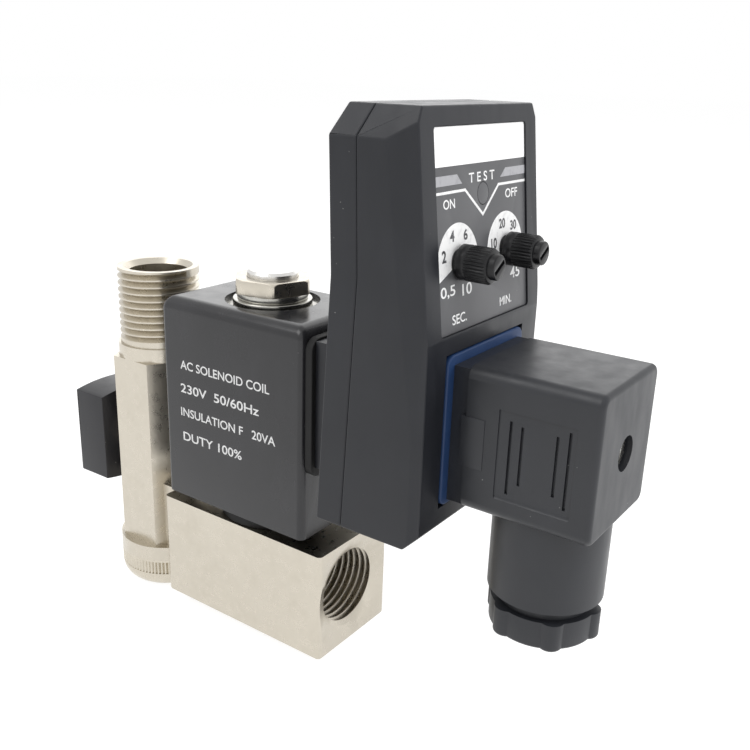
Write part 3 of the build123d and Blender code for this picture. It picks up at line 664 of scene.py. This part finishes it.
NICKEL = Metal(
    "nickel_plate", (0.590, 0.547, 0.468), (0.46, 0.42, 0.345), (0.24, 0.36), stain_amount=0.35
)
TURNED_NICKEL = Metal(
    "turned_nickel", (0.60, 0.555, 0.470), (0.46, 0.42, 0.34), (0.22, 0.32), (0.15, 0.15, 3.0),
    1500.0, 0.006, 0.4,
)
ZINC = Metal("zinc_steel", (0.52, 0.51, 0.475), (0.37, 0.355, 0.315), (0.16, 0.3))
STAINLESS = Metal("stainless_steel", (0.74, 0.73, 0.71), (0.62, 0.61, 0.59), (0.22, 0.34))
CHROME = Metal("chrome", (0.88, 0.88, 0.88), (0.80, 0.80, 0.81), (0.05, 0.09), stain_amount=0.2)
COPPER = Metal(
    "copper_wire", (0.82, 0.42, 0.24), (0.52, 0.24, 0.13), (0.25, 0.4), (0.2, 0.2, 3.0),
    1900.0, 0.05,
)
CONTACT = Metal("tinned_contact", (0.80, 0.78, 0.72), (0.63, 0.58, 0.46), (0.2, 0.35))
SHELL_BLACK = Moulded(
    "shell_black", (0.0095, 0.0105, 0.0140), (0.016, 0.0172, 0.0215), (0.34, 0.46), specular=0.42
)
PLUG_BLACK = Moulded(
    "plug_black", (0.018, 0.0193, 0.0230), (0.026, 0.0275, 0.0320), (0.36, 0.48), specular=0.46
)
COIL_BLACK = Moulded(
    "coil_black", (0.016, 0.016, 0.018), (0.025, 0.025, 0.028), (0.19, 0.28), 0.004
)
HANDLE_BLACK = Moulded(
    "handle_black", (0.015, 0.015, 0.018), (0.023, 0.023, 0.027), (0.30, 0.42), specular=0.42
)
KNOB_BLACK = Moulded(
    "knob_black", (0.004, 0.004, 0.005), (0.009, 0.009, 0.010), (0.26, 0.38), 0.006, 0.0, 0.36
)
RUBBER_BLACK = Moulded(
    "rubber_black", (0.010, 0.010, 0.010), (0.016, 0.016, 0.016), (0.55, 0.7), specular=0.3
)
GASKET_BLUE = Moulded(
    "gasket_blue", (0.010, 0.030, 0.090), (0.020, 0.048, 0.125), (0.42, 0.56), 0.012, 0.0, 0.35
)
BOBBIN = Moulded("bobbin_resin", (0.30, 0.29, 0.26), (0.36, 0.35, 0.32), (0.4, 0.5))
SEAL_WHITE = Moulded("seat_white", (0.78, 0.78, 0.76), (0.84, 0.84, 0.83), (0.35, 0.5), 0.004, 0.0)
BOARD_GREEN = Moulded("board_laminate", (0.020, 0.110, 0.045), (0.028, 0.150, 0.060), (0.3, 0.45))
LABEL_GREY = Moulded(
    "label_film", (0.080, 0.081, 0.086), (0.098, 0.099, 0.105), (0.34, 0.44), 0.006, 0.03
)
WHITE_INK = Ink("white_ink", (0.80, 0.80, 0.80), (0.62, 0.62, 0.63))
WINDOW_WHITE = Ink("window_white", (0.93, 0.93, 0.93), (0.88, 0.88, 0.88))
LAMP_GREY = Ink("lamp_grey", (0.36, 0.36, 0.38), (0.27, 0.27, 0.29))
BLACK_INK = Ink("black_ink", (0.045, 0.045, 0.05), (0.14, 0.14, 0.15))
CLEAR = Lens("clear_lens_plastic")

SLOT_FINISH: dict[str, Finish] = {
    "nickel_brass": NICKEL, "ptfe": SEAL_WHITE, "chromed_brass": CHROME,
    "black_plastic": SHELL_BLACK, "steel": ZINC, "stainless": STAINLESS,
    "black_rubber": RUBBER_BLACK, "copper": COPPER, "bobbin_plastic": BOBBIN,
    "coil_plastic": COIL_BLACK, "contact_metal": CONTACT, "label_print": LABEL_GREY,
    "board": BOARD_GREEN, "knob_plastic": KNOB_BLACK, "clear_lens": CLEAR,
    "blue_rubber": GASKET_BLUE,
}


class Paints:
    """Keeps one material for each finish."""

    def __init__(self) -> None:
        """Starts with no material made."""
        self.made: dict[str, bpy.types.Material] = {}

    def of(self, finish: Finish) -> bpy.types.Material:
        """The material of a finish, made when first asked for.

        Args:
            finish: the finish.

        Returns:
            Its material.
        """
        if finish.name not in self.made:
            self.made[finish.name] = bpy.data.materials.new(finish.name)
            finish.paint(Graph(self.made[finish.name]))
        return self.made[finish.name]


@dataclass
class Assembly:
    """A group of pieces that is built and dressed together."""

    paints: Paints

    def build(self) -> None:
        """Makes the group's pieces."""
        raise NotImplementedError

    def dress(
        self, piece: Piece, finish: Finish, slot: str, *nodes: str,
        body: Body = Body.VALVE,
    ) -> None:
        """Gives a piece its finish and body, and lets it stand for frame nodes.

        Args:
            piece: the finished mesh.
            finish: its finish.
            slot: material slot of the record; not used.
            nodes: frame nodes that it replaces.
            body: body that it rides on.
        """
        piece.data.materials.clear()
        piece.data.materials.append(self.paints.of(finish))
        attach(piece, body.value)
        if nodes:
            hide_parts(*nodes)
        log.info("%s: %d faces", piece.name, len(piece.data.polygons))

    def softened(
        self, node: str, finish: Finish, width: float, body: Body = Body.VALVE,
        angle: float = 35.0,
    ) -> None:
        """A frame node's shape with its edges rounded, in its finish.

        Args:
            node: the frame's node.
            finish: its finish.
            width: width of the edge rounds in millimetres.
            body: body that it rides on.
            angle: edges that turn more than this are rounded.
        """
        piece = from_cad(node, f"{node}_skin")
        round_edges(piece, width, angle)
        smooth(piece, min(30.0, angle + 14.0))
        self.dress(piece, finish, slot_of(node), node, body=body)


def joint_of(name: str) -> dict:
    """The frame's joint of that name."""
    return next(joint for joint in frame["joints"] if joint["name"] == name)


def slot_of(node: str) -> str:
    """The material slot that the record gives a node."""
    parts = frame["record"]["subparts"]
    return next(part["material_slot"] for part in parts if part["node"] == node)


# ---------------------- valve and pipe
@dataclass
class ValveBlock(Assembly):
    """Nickel-plated body with its threaded ports, and the knurled strainer cap."""

    pipe_x: float = -65.8
    inlet_top: float = 70.9
    thread_major: float = 10.4775
    thread_minor: float = 9.3155
    pitch: float = 1.814
    thread_margin: float = 0.25
    inlet_turns: int = 10
    outlet_turns: int = 9
    mouth_radius: float = 11.7
    mouth_depth: float = 1.1
    rim_radius: float = 8.85
    bore_radius: float = 7.5
    block_back: float = -52.0
    block_half: float = 13.5
    block_drop: float = 14.0
    block_round: float = 0.85
    cap_radius: float = 13.4
    cap_ridges: int = 84
    ridge_radius: float = 0.34
    ridge_length: float = 3.6
    ridge_level: float = 6.6

    def build(self) -> None:
        """Makes the body and the cap."""
        self.body()
        self.cap()

    def body(self) -> None:
        """The body: rounded edges, chamfered mouths and both pipe threads."""
        piece = from_cad("valve_body", "valve_body_skin")
        mark_edges(piece, self.is_block_edge)
        round_marked(piece, self.block_round)
        combine(piece, self.mouth())
        combine(piece, drum(
            "inlet_rim", self.bore_radius - 0.1, (self.pipe_x, 0, self.inlet_top - 1.45), 1.8,
            tip=self.rim_radius + 0.35, sides=96,
        ))
        combine(piece, coil_tool(
            self.pitch, self.inlet_turns, self.thread_major + self.thread_margin,
            self.thread_minor,
            (self.pipe_x, 0, self.inlet_top - 1.0 - self.pitch * self.inlet_turns), Along.Z,
        ))
        combine(piece, coil_tool(
            self.pitch, self.outlet_turns, self.thread_minor - self.thread_margin,
            self.thread_major,
            (-self.pitch * (self.outlet_turns - 1.2), 0, 0), Along.X,
        ))
        smooth(piece, 28.0)
        self.dress(piece, NICKEL, "nickel_brass", "valve_body")

    def is_block_edge(self, middle: Vector, along: Vector) -> bool:
        """Whether an edge is one of the twelve of the outlet's block.

        Args:
            middle: the edge's middle.
            along: its unit direction.

        Returns:
            True where it lies on two of the block's faces.
        """
        near = 1e-5
        faces = (
            abs(abs(middle.y) - self.block_half * MM) < near,
            abs(abs(middle.z) - self.block_drop * MM) < near,
            abs(middle.x) < near or abs(middle.x - self.block_back * MM) < near,
        )
        straight = max(abs(part) for part in along) > 0.999
        return straight and middle.x > (self.block_back - 0.4) * MM and sum(faces) >= 2

    def mouth(self) -> Piece:
        """The cutter for the outlet's lead-in.

        Returns:
            The cutter.
        """
        return drum(
            "outlet_mouth", self.thread_minor - 0.3, (-self.mouth_depth - 1.0, 0, 0),
            self.mouth_depth + 1.3, Along.X, 96,
            self.thread_minor - 0.3
            + (self.mouth_radius - self.thread_minor) * (self.mouth_depth + 1.3) / self.mouth_depth,
        )

    def cap(self) -> None:
        """The strainer cap with fine upright ridges round its band."""
        piece = from_cad("strainer_cap", "strainer_cap_skin")
        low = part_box("strainer_cap")[0].z / MM
        tools: list[Piece] = []
        for step in range(self.cap_ridges):
            turn = math.tau * step / self.cap_ridges
            put_down()
            bpy.ops.mesh.primitive_cylinder_add(
                vertices=4, radius=self.ridge_radius * MM, depth=self.ridge_length * MM,
                location=Vector((
                    self.pipe_x + self.cap_radius * math.cos(turn),
                    self.cap_radius * math.sin(turn), low + self.ridge_level,
                )) * MM,
                rotation=(0, 0, turn),
            )
            tools.append(bpy.context.object)
        put_down()
        for tool in tools:
            tool.select_set(True)
        bpy.context.view_layer.objects.active = tools[0]
        bpy.ops.object.join()
        combine(piece, settle(bpy.context.object))
        smooth(piece, 30.0)
        self.dress(piece, TURNED_NICKEL, "nickel_brass", "strainer_cap")


@dataclass
class ShutoffHandle(Assembly):
    """Black handle of the inlet's ball valve, with its screw."""

    edge: float = 0.9

    def build(self) -> None:
        """Makes the handle and its screw."""
        handle = from_cad("shutoff_handle", "shutoff_handle_skin")
        round_ridges(handle, self.edge, angle=35.0, shortest=6.0)
        smooth(handle)
        self.dress(handle, HANDLE_BLACK, "black_plastic", "shutoff_handle", body=Body.BALL)
        self.softened("handle_screw", ZINC, 0.2, Body.BALL)


# -------------------------------- coil
@dataclass
class Coil(Assembly):
    """Moulded solenoid coil with its top nut, washers and rating print."""

    edge: float = 0.8
    side_start: float = 15.0
    front_start: float = -4.3
    back_start: float = -47.8
    face_y: float = -15.3
    ink: float = 0.005
    rows: tuple[tuple[str, float, float, float, float], ...] = (
        ("AC SOLENOID COIL", -42.0, -13.6, 51.4, 2.2),
        ("230V  50/60Hz", -42.2, -16.8, 45.4, 2.3),
        ("INSULATION F   20VA", -42.4, -11.9, 39.3, 2.2),
        ("DUTY 100%", -41.9, -22.4, 32.9, 2.3),
    )

    def build(self) -> None:
        """Makes the coil, its hardware and its print."""
        housing = from_cad("coil_housing", "coil_housing_skin")
        round_ridges(
            housing, self.edge, angle=35.0, shortest=5.0,
            where=lambda p: abs(p.y) > self.side_start * MM
            or not self.back_start * MM <= p.x <= self.front_start * MM,
        )
        smooth(housing)
        self.dress(housing, COIL_BLACK, "coil_plastic", "coil_housing")
        self.softened("coil_yoke", ZINC, 0.15)
        self.softened("flat_washer", ZINC, 0.2)
        self.softened("lock_washer", ZINC, 0.3)
        self.softened("coil_nut", NICKEL, 0.28, angle=25.0)
        self.softened("armature_tube", STAINLESS, 0.2)
        self.softened("base_seal", RUBBER_BLACK, 0.4)
        side = Matrix((
            (1, 0, 0, 0), (0, 0, -1, (self.face_y - self.ink) * MM), (0, 1, 0, 0), (0, 0, 0, 1),
        ))
        for number, (words, left, right, level, height) in enumerate(self.rows, 1):
            piece = lettering(f"rating_print_{number}", words, PLAIN_STROKES)
            fit_print(piece, side, (left, right), (level, level + height))
            self.dress(piece, WHITE_INK, "label_print")


def lettering(name: str, words: str, weight: float) -> Piece:
    """Words as a thin mesh that lies on its own XY plane.

    Args:
        name: name of the piece.
        words: the text.
        weight: how much its strokes are thickened, as a share of the letter size.

    Returns:
        The mesh, not yet in place.
    """
    put_down()
    bpy.ops.object.text_add()
    piece = bpy.context.object
    piece.name = name
    piece.data.body = words
    piece.data.size = 1.0
    piece.data.offset = weight
    piece.data.resolution_u = 6
    take(piece)
    bpy.ops.object.convert(target="MESH")
    piece = bpy.context.object
    enter(piece)
    bpy.ops.mesh.select_all(action="SELECT")
    bpy.ops.mesh.remove_doubles(threshold=1e-5)
    bpy.ops.mesh.dissolve_limited(angle_limit=math.radians(1))
    leave()
    return piece


def fit_print(
    piece: Piece, place: Matrix, across: tuple[float, float], up: tuple[float, float]
) -> None:
    """Fits a flat mesh to a rectangle of a surface.

    Args:
        piece: flat mesh on its own XY plane.
        place: the surface's frame, whose X is across and Y is up.
        across: first and last place across, in millimetres.
        up: lowest and highest place, in millimetres.
    """
    xs = [v.co.x for v in piece.data.vertices]
    ys = [v.co.y for v in piece.data.vertices]
    wide, tall = max(xs) - min(xs), max(ys) - min(ys)
    scale = Matrix.Diagonal((
        (across[1] - across[0]) * MM / wide, (up[1] - up[0]) * MM / tall, 1.0, 1.0,
    ))
    shift = Matrix.Translation((across[0] * MM, up[0] * MM, 0.0))
    start = Matrix.Translation((-min(xs), -min(ys), 0.0))
    piece.matrix_world = place @ shift @ scale @ start
    settle(piece)


# ------------------------------- timer
@dataclass
class TimerUnit(Assembly):
    """Timer housing with its dial, print, knobs and test key."""

    label_height: float = 38.2
    label_half: float = 17.7
    knob_radius: float = 3.45
    knob_lift: float = 0.55
    knob_height: float = 8.4
    collar_height: float = 2.4
    tip_radius: float = 2.45
    tip_length: float = 1.3
    ribs: int = 32
    slot_length: float = 3.8
    slot_width: float = 0.85
    slot_turn: float = 32.0
    dial_outer: float = 7.5
    dial_inner: float = 2.6
    ink: float = 0.02
    shell_round: float = 0.38
    shell_sides: float = 20.5
    shell_roof: float = 114.5
    shell_foot: float = 35.0

    def build(self) -> None:
        """Makes the shells, the label and its print, the knobs and the gasket."""
        for node in ("timer_rear_shell", "timer_front_shell"):
            self.shell(node)
        self.softened("dial_label", LABEL_GREY, 0.08)
        self.softened("test_key", LABEL_GREY, 0.06, Body.BUTTON)
        self.softened("rear_gasket", RUBBER_BLACK, 0.3)
        self.knob("on_time_knob", "on_time_turn", Body.ON_DIAL)
        self.knob("off_time_knob", "off_time_turn", Body.OFF_DIAL)
        self.print_dial()

    def shell(self, node: str) -> None:
        """One half of the housing, with rounded corners and a fine joint line.

        Args:
            node: the frame's shell that it replaces.
        """
        piece = from_cad(node, f"{node}_skin")
        round_ridges(
            piece, self.shell_round, angle=9.0, shortest=2.5,
            where=lambda p: abs(p.y) > self.shell_sides * MM
            or not self.shell_foot * MM <= p.z <= self.shell_roof * MM,
            clamp=False,
        )
        smooth(piece, 11.0)
        self.dress(piece, SHELL_BLACK, "black_plastic", node)

    def surface(self) -> Matrix:
        """Where the label lies.

        Returns:
            Its frame: X across, Y up and Z out, from the middle of its upper edge.
        """
        out = Vector(joint_of("test_press")["axis"]).normalized()
        across = Vector((0, 1, 0))
        rise = out.cross(across)
        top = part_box("dial_label")[1]
        tall = self.label_height * MM
        corner = Vector((top.x - tall * out.z, 0, top.z))
        turn = Matrix((across, rise, out)).transposed().to_4x4()
        return Matrix.Translation(corner) @ turn

    def knob(self, node: str, joint_name: str, body: Body) -> None:
        """A knob with a smooth collar, fine ribs and a narrower tip with a driver's slot.

        Args:
            node: the frame's knob that it replaces.
            joint_name: the joint that it turns on.
            body: the dial body that it rides on.
        """
        put_down()
        radius, steps = self.knob_radius * MM, self.ribs * 4
        bpy.ops.mesh.primitive_circle_add(vertices=steps, radius=radius, fill_type="NGON")
        piece = bpy.context.object
        piece.name = f"{node}_skin"
        lift = self.knob_lift
        shoulder = self.knob_height - self.tip_length
        tip = self.tip_radius / self.knob_radius
        levels = (
            (self.collar_height - 0.25, 1.0), (self.collar_height, 0.955),
            (self.collar_height + 0.3, 1.0), (shoulder - 0.5, 1.0), (shoulder - 0.12, 0.93),
            (shoulder, 0.87), (shoulder, tip), (self.knob_height - 0.3, tip),
            (self.knob_height - 0.08, tip * 0.96), (self.knob_height, tip * 0.89),
        )
        low, wide = lift, 1.0
        enter(piece)
        bpy.ops.mesh.select_all(action="SELECT")
        for level, share in levels:
            bpy.ops.mesh.extrude_region_move(
                TRANSFORM_OT_translate={"value": (0, 0, (level - low) * MM)}
            )
            bpy.ops.transform.resize(
                value=(share / wide, share / wide, 1), center_override=(0, 0, 0)
            )
            low, wide = level, share
        leave()
        ribbed = (self.collar_height + 0.2 - lift) * MM, (shoulder - 0.4 - lift) * MM
        mark_points(
            piece,
            lambda i, p: ribbed[0] < p.z < ribbed[1]
            and round(math.atan2(p.y, p.x) / math.tau * steps) % 4 in (2, 3),
        )
        enter(piece, "VERT")
        bpy.ops.transform.resize(value=(0.925, 0.925, 1), center_override=(0, 0, 0))
        leave()
        face_out(piece)
        piece.location = (0, 0, lift * MM)
        settle(piece)
        top = self.knob_height
        tool = slab(
            "slot_tool", (-self.slot_length / 2, -self.slot_width / 2, top - 1.1),
            (self.slot_length / 2, self.slot_width / 2, top + 1),
        )
        tool.rotation_euler = (0, 0, math.radians(self.slot_turn))
        combine(piece, settle(tool))
        round_edges(piece, 0.07, 40.0, 2)
        turn = Matrix(((0, 0, 1), (1, 0, 0), (0, 1, 0))).to_4x4()
        piece.matrix_world = Matrix.Translation(Vector(joint_of(joint_name)["pos_m"])) @ turn
        settle(piece)
        smooth(piece, 35.0)
        self.dress(piece, KNOB_BLACK, "knob_plastic", node, body=body)

    def words(
        self, name: str, text: str, centre: tuple[float, float], size: tuple[float, float],
        finish: Ink = WHITE_INK,
    ) -> None:
        """Prints a word or number on the label.

        Args:
            name: name of the piece.
            text: what it says.
            centre: place across, and distance down from the label's upper edge.
            size: its width and height.
            finish: its ink.
        """
        over_ring = finish is BLACK_INK
        piece = lettering(name, text, BOLD_STROKES if over_ring else PLAIN_STROKES)
        (across, drop), (wide, tall) = centre, size
        lift = 2.2 if over_ring else 1.0
        fit_print(
            piece, self.surface() @ Matrix.Translation((0, 0, self.ink * lift * MM)),
            (across - wide / 2, across + wide / 2), (-drop - tall / 2, -drop + tall / 2),
        )
        self.dress(piece, finish, "label_print")

    def patch(self, name: str, corners: Iterable[tuple[float, float]], finish: Ink) -> None:
        """Prints a flat patch on the label.

        Args:
            name: name of the piece.
            corners: places across and distances down, anticlockwise from the lower left.
            finish: its ink.
        """
        corners = list(corners)
        put_down()
        bpy.ops.mesh.primitive_circle_add(vertices=len(corners), radius=MM, fill_type="NGON")
        piece = bpy.context.object
        piece.name = name
        for point, (across, drop) in zip(piece.data.vertices, corners):
            point.co = Vector((across * MM, -drop * MM, 0))
        piece.matrix_world = self.surface() @ Matrix.Translation((0, 0, self.ink * MM))
        settle(piece)
        self.dress(piece, finish, "label_print")

    def arc(self, name: str, centre: tuple[float, float], start: float, end: float) -> None:
        """Prints the white part ring behind a knob.

        Args:
            name: name of the piece.
            centre: place across, and distance down.
            start: first angle in degrees, anticlockwise from the right.
            end: last angle.
        """
        steps = 48
        angles = [math.radians(start + (end - start) * k / steps) for k in range(steps + 1)]
        ring = [(math.cos(a) * self.dial_outer, math.sin(a) * self.dial_outer) for a in angles]
        ring += [
            (math.cos(a) * self.dial_inner, math.sin(a) * self.dial_inner)
            for a in reversed(angles)
        ]
        self.patch(name, [(centre[0] + x, centre[1] - y) for x, y in ring], WHITE_INK)

    def print_dial(self) -> None:
        """Prints the window, lamps, line, rings, numbers and words."""
        half = self.label_half - 0.1
        self.patch(
            "window_print", [(-half, 7.1), (half, 7.1), (half, 0.1), (-half, 0.1)], WINDOW_WHITE
        )
        self.patch(
            "lamp_print_left", [(-half, 10.5), (-7.9, 10.5), (-9.6, 8.7), (-half, 8.7)], LAMP_GREY
        )
        self.patch(
            "lamp_print_right", [(7.0, 10.4), (half, 10.4), (half, 8.7), (9.2, 8.7)], LAMP_GREY
        )
        self.patch("divider_print", [
            (-half, 12.01), (-6.95, 12.0), (-0.3, 17.3), (6.35, 12.01), (half, 12.05),
            (half, 11.55), (6.1, 11.51), (-0.3, 16.6), (-6.7, 11.5), (-half, 11.51),
        ], WHITE_INK)
        for name, text, centre, size in (
            ("test", "T E S T", (-0.3, 9.7), (10.0, 1.85)),
            ("on", "ON", (-12.75, 13.85), (4.1, 1.75)), ("off", "OFF", (11.6, 13.8), (5.2, 1.8)),
            ("second", "SEC.", (-10.3, 35.6), (5.4, 1.9)),
            ("minute", "MIN.", (8.3, 35.4), (5.0, 1.8)),
        ):
            self.words(f"{name}_word", text, centre, size)
        self.arc("on_dial_print", (-10.1, 25.0), 17.0, 202.0)
        self.arc("off_dial_print", (8.6, 24.75), 17.0, 202.0)
        for name, text, centre, size in (
            ("on_two", "2", (-15.2, 23.2), (1.5, 2.3)), ("on_four", "4", (-12.1, 19.8), (1.6, 2.1)),
            ("on_six", "6", (-7.2, 20.0), (1.5, 2.1)), ("off_ten", "10", (3.9, 23.2), (2.3, 2.1)),
            ("off_twenty", "20", (7.4, 19.6), (2.6, 2.0)),
            ("off_thirty", "30", (12.2, 20.4), (2.6, 2.0)),
        ):
            self.words(f"{name}_mark", text, centre, size, BLACK_INK)
        for name, text, centre, size in (
            ("on_half", "0,5", (-14.2, 30.0), (5.2, 2.4)),
            ("on_ten", "10", (-7.2, 30.4), (3.6, 2.3)),
            ("off_last", "45", (12.6, 30.2), (4.2, 2.4)),
        ):
            self.words(f"{name}_mark", text, centre, size)


# -------------------------------- plug
@dataclass
class CablePlug(Assembly):
    """Cable plug with its gasket, panel, screw and gland."""

    edge: float = 0.8
    foot_level: float = 36.0
    side_start: float = 12.9
    middle_level: float = 53.5
    middle_half: float = 14.0
    face_start: float = 62.0
    half_width: float = 13.75
    panel_depth: float = 0.35
    panel_round: float = 1.9
    groove_depth: float = 0.95
    groove_half: float = 0.3
    pad_depth: float = 0.5
    pad_rise: float = 0.18
    panel: tuple[float, float, float, float] = (42.6, 58.4, 43.0, 61.5)
    pad: tuple[float, float, float, float] = (34.6, 39.8, 48.0, 58.5)
    grooves: tuple[tuple[float, float, float], ...] = (
        (45.1, 44.6, 59.6), (47.5, 47.0, 59.0), (54.6, 46.9, 59.0), (57.0, 44.9, 60.4),
    )

    def build(self) -> None:
        """Makes the plug, its gasket, its screw and the gland."""
        self.housing()
        self.softened("plug_gasket", GASKET_BLUE, 0.35)
        self.softened("gland_nut", PLUG_BLACK, 0.5)
        self.softened("gland_washer", RUBBER_BLACK, 0.15)
        self.softened("gland_grommet", RUBBER_BLACK, 0.3)
        self.softened("long_screw", ZINC, 0.15)

    def levels(self, side: int, sunk: float, proud: float) -> tuple[float, float]:
        """Places across of the two faces of a tool at one side.

        Args:
            side: -1 or 1.
            sunk: how far it reaches into the side, in millimetres.
            proud: how far it stands out.

        Returns:
            The two places, lowest first.
        """
        low, high = sorted((side * (self.half_width - sunk), side * (self.half_width + proud)))
        return low, high

    def is_outer(self, middle: Vector) -> bool:
        """Whether a ridge is one of the housing's outer ones.

        Args:
            middle: the ridge's middle.

        Returns:
            True where it may be rounded.
        """
        return middle.z > self.foot_level * MM and (
            abs(middle.y) > self.side_start * MM or middle.x > self.face_start * MM
            or abs(middle.z - self.middle_level * MM) > self.middle_half * MM
        )

    def housing(self) -> None:
        """The housing with its sunk side panels, each with four grooves, and plain pads."""
        piece = from_cad("plug_housing", "plug_housing_skin")
        left, right, low, high = self.panel
        for side in (-1, 1):
            near, far = self.levels(side, self.panel_depth, 1.0)
            tool = slab("panel_tool", (left, near, low), (right, far, high))
            mark_edges(tool, lambda p, d: abs(d.y) > 0.9 and p.z < (low + 1) * MM)
            round_marked(tool, self.panel_round, 6)
            combine(piece, tool)
            near, far = self.levels(side, self.groove_depth, 1.0)
            for x, start, end in self.grooves:
                combine(piece, slab(
                    "groove_tool", (x - self.groove_half, near, start),
                    (x + self.groove_half, far, end),
                ))
        round_ridges(piece, self.edge, angle=38.0, shortest=3.0, where=self.is_outer)
        left, right, low, high = self.pad
        for side in (-1, 1):
            near, far = self.levels(side, self.pad_depth, self.pad_rise)
            tool = slab("pad_tool", (left, near, low), (right, far, high))
            round_edges(tool, 0.15, segments=2)
            combine(piece, tool, "UNION")
        smooth(piece)
        self.dress(piece, PLUG_BLACK, "black_plastic", "plug_housing")


# ------------------------------ studio
@dataclass
class Studio:
    """White floor and backdrop, soft lamps and the camera."""

    place: Point = (114.19, -156.59, 121.37)
    azimuth: float = 35.067
    elevation: float = 18.831
    roll: float = 1.863
    lens: float = 43.42
    floor_level: float = -18.0
    sky: float = 0.44
    floor_glow: float = 0.82
    floor_shade: float = 0.40

    def build(self) -> None:
        """Makes the floor, world, lamps and camera."""
        self.floor()
        self.world()
        self.lamp("key_lamp", (520, -300, 850), 0.8, 5.0, False)
        self.lamp("back_lamp", (-560, 900, 620), 1.1, 3.2, True)
        self.lamp("left_lamp", (-330, -560, 900), 0.6, 3.4, True)
        self.lamp("side_lamp", (900, 420, 330), 0.6, 4.6, False)
        self.camera()

    def show(self, graph: Graph, white: bpy.types.Node, output: str) -> None:
        """Shows a white shader to camera, mirror and glass rays, and the plain one to the rest.

        Args:
            graph: the graph, whose shader is the plain one.
            white: the shader that is seen.
            output: name of the output node.
        """
        path = graph.add("LightPath", {})
        seen = path.outputs["Is Camera Ray"]
        for name in ("Is Glossy Ray", "Is Transmission Ray"):
            seen = graph.maths("MAXIMUM", seen, path.outputs[name])
        mix = graph.add("MixShader", {
            0: seen, 1: graph.shader.outputs[0], 2: white.outputs[0],
        })
        graph.feed(graph.nodes[output], {"Surface": mix.outputs[0]})

    def floor(self) -> None:
        """A white floor that keeps the valve's shadow."""
        put_down()
        bpy.ops.mesh.primitive_plane_add(size=12.0, location=(0, 0, (self.floor_level - 0.02) * MM))
        floor = bpy.context.object
        floor.name = "floor"
        material = bpy.data.materials.new("studio_floor")
        graph = Graph(material)
        graph.wire(Base_Color=(0.90, 0.90, 0.90, 1.0), Roughness=0.8)
        glow = graph.add("Emission", {"Strength": self.floor_glow})
        shade = graph.add("BsdfDiffuse", {"Color": (*(self.floor_shade,) * 3, 1.0)})
        white = graph.add("AddShader", {0: glow.outputs[0], 1: shade.outputs[0]})
        self.show(graph, white, "Material Output")
        floor.data.materials.append(material)

    def world(self) -> None:
        """A white backdrop, with a plain level of light."""
        scene = bpy.context.scene
        scene.world = scene.world or bpy.data.worlds.new("studio")
        graph = Graph(scene.world, "Background")
        graph.wire(Color=(1.0, 1.0, 1.0, 1.0), Strength=self.sky)
        white = graph.add("Background", {"Color": (1.0, 1.0, 1.0, 1.0)})
        self.show(graph, white, "World Output")

    def lamp(self, name: str, place: Point, size: float, energy: float, mirrored: bool) -> None:
        """A soft square lamp that faces the valve.

        Args:
            name: name of the lamp.
            place: where it hangs, in millimetres.
            size: its side in metres.
            energy: its power in watts.
            mirrored: whether glossy surfaces show it.
        """
        data = bpy.data.lights.new(name, "AREA")
        data.size = size
        data.energy = energy
        lamp = bpy.data.objects.new(name, data)
        lamp.location = Vector(place) * MM
        lamp.visible_glossy = mirrored
        aim = Vector((0, 0, 40)) * MM - lamp.location
        lamp.rotation_mode = "QUATERNION"
        lamp.rotation_quaternion = aim.to_track_quat("-Z", "Y")
        bpy.context.scene.collection.objects.link(lamp)

    def camera(self) -> None:
        """The camera at its set angle."""
        scene = bpy.context.scene
        data = bpy.data.cameras.new("camera")
        data.lens = self.lens
        data.sensor_width = 36.0
        data.clip_start, data.clip_end = 0.01, 20.0
        camera = bpy.data.objects.new("camera", data)
        a, e = math.radians(self.azimuth), math.radians(self.elevation)
        back = Vector((
            math.sin(a) * math.cos(e), -math.cos(a) * math.cos(e), math.sin(e),
        ))
        camera.rotation_mode = "QUATERNION"
        camera.rotation_quaternion = (-back).to_track_quat("-Z", "Y") @ Quaternion(
            (0, 0, 1), math.radians(self.roll)
        )
        camera.location = Vector(self.place) * MM
        scene.collection.objects.link(camera)
        scene.camera = camera
        scene.view_settings.view_transform = "Standard"


def dress_rest(paints: Paints) -> None:
    """Gives each frame node that still shows its own finish.

    Args:
        paints: the materials made so far.
    """
    for name, node in frame["nodes"].items():
        if node.hide_render:
            continue
        slot = slot_of(name)
        node.data.materials.clear()
        node.data.materials.append(paints.of(SLOT_FINISH[slot]))
        log.info("%s: dressed as %s", name, slot)


def main() -> None:
    """Builds each assembly in order, then the studio."""
    logging.basicConfig(level=logging.INFO, format="%(message)s")
    paints = Paints()
    for assembly in (
        ValveBlock(paints), ShutoffHandle(paints), Coil(paints), TimerUnit(paints),
        CablePlug(paints),
    ):
        log.info("building %s", type(assembly).__name__)
        assembly.build()
    dress_rest(paints)
    Studio().build()


if __name__ == "__main__":
    main()
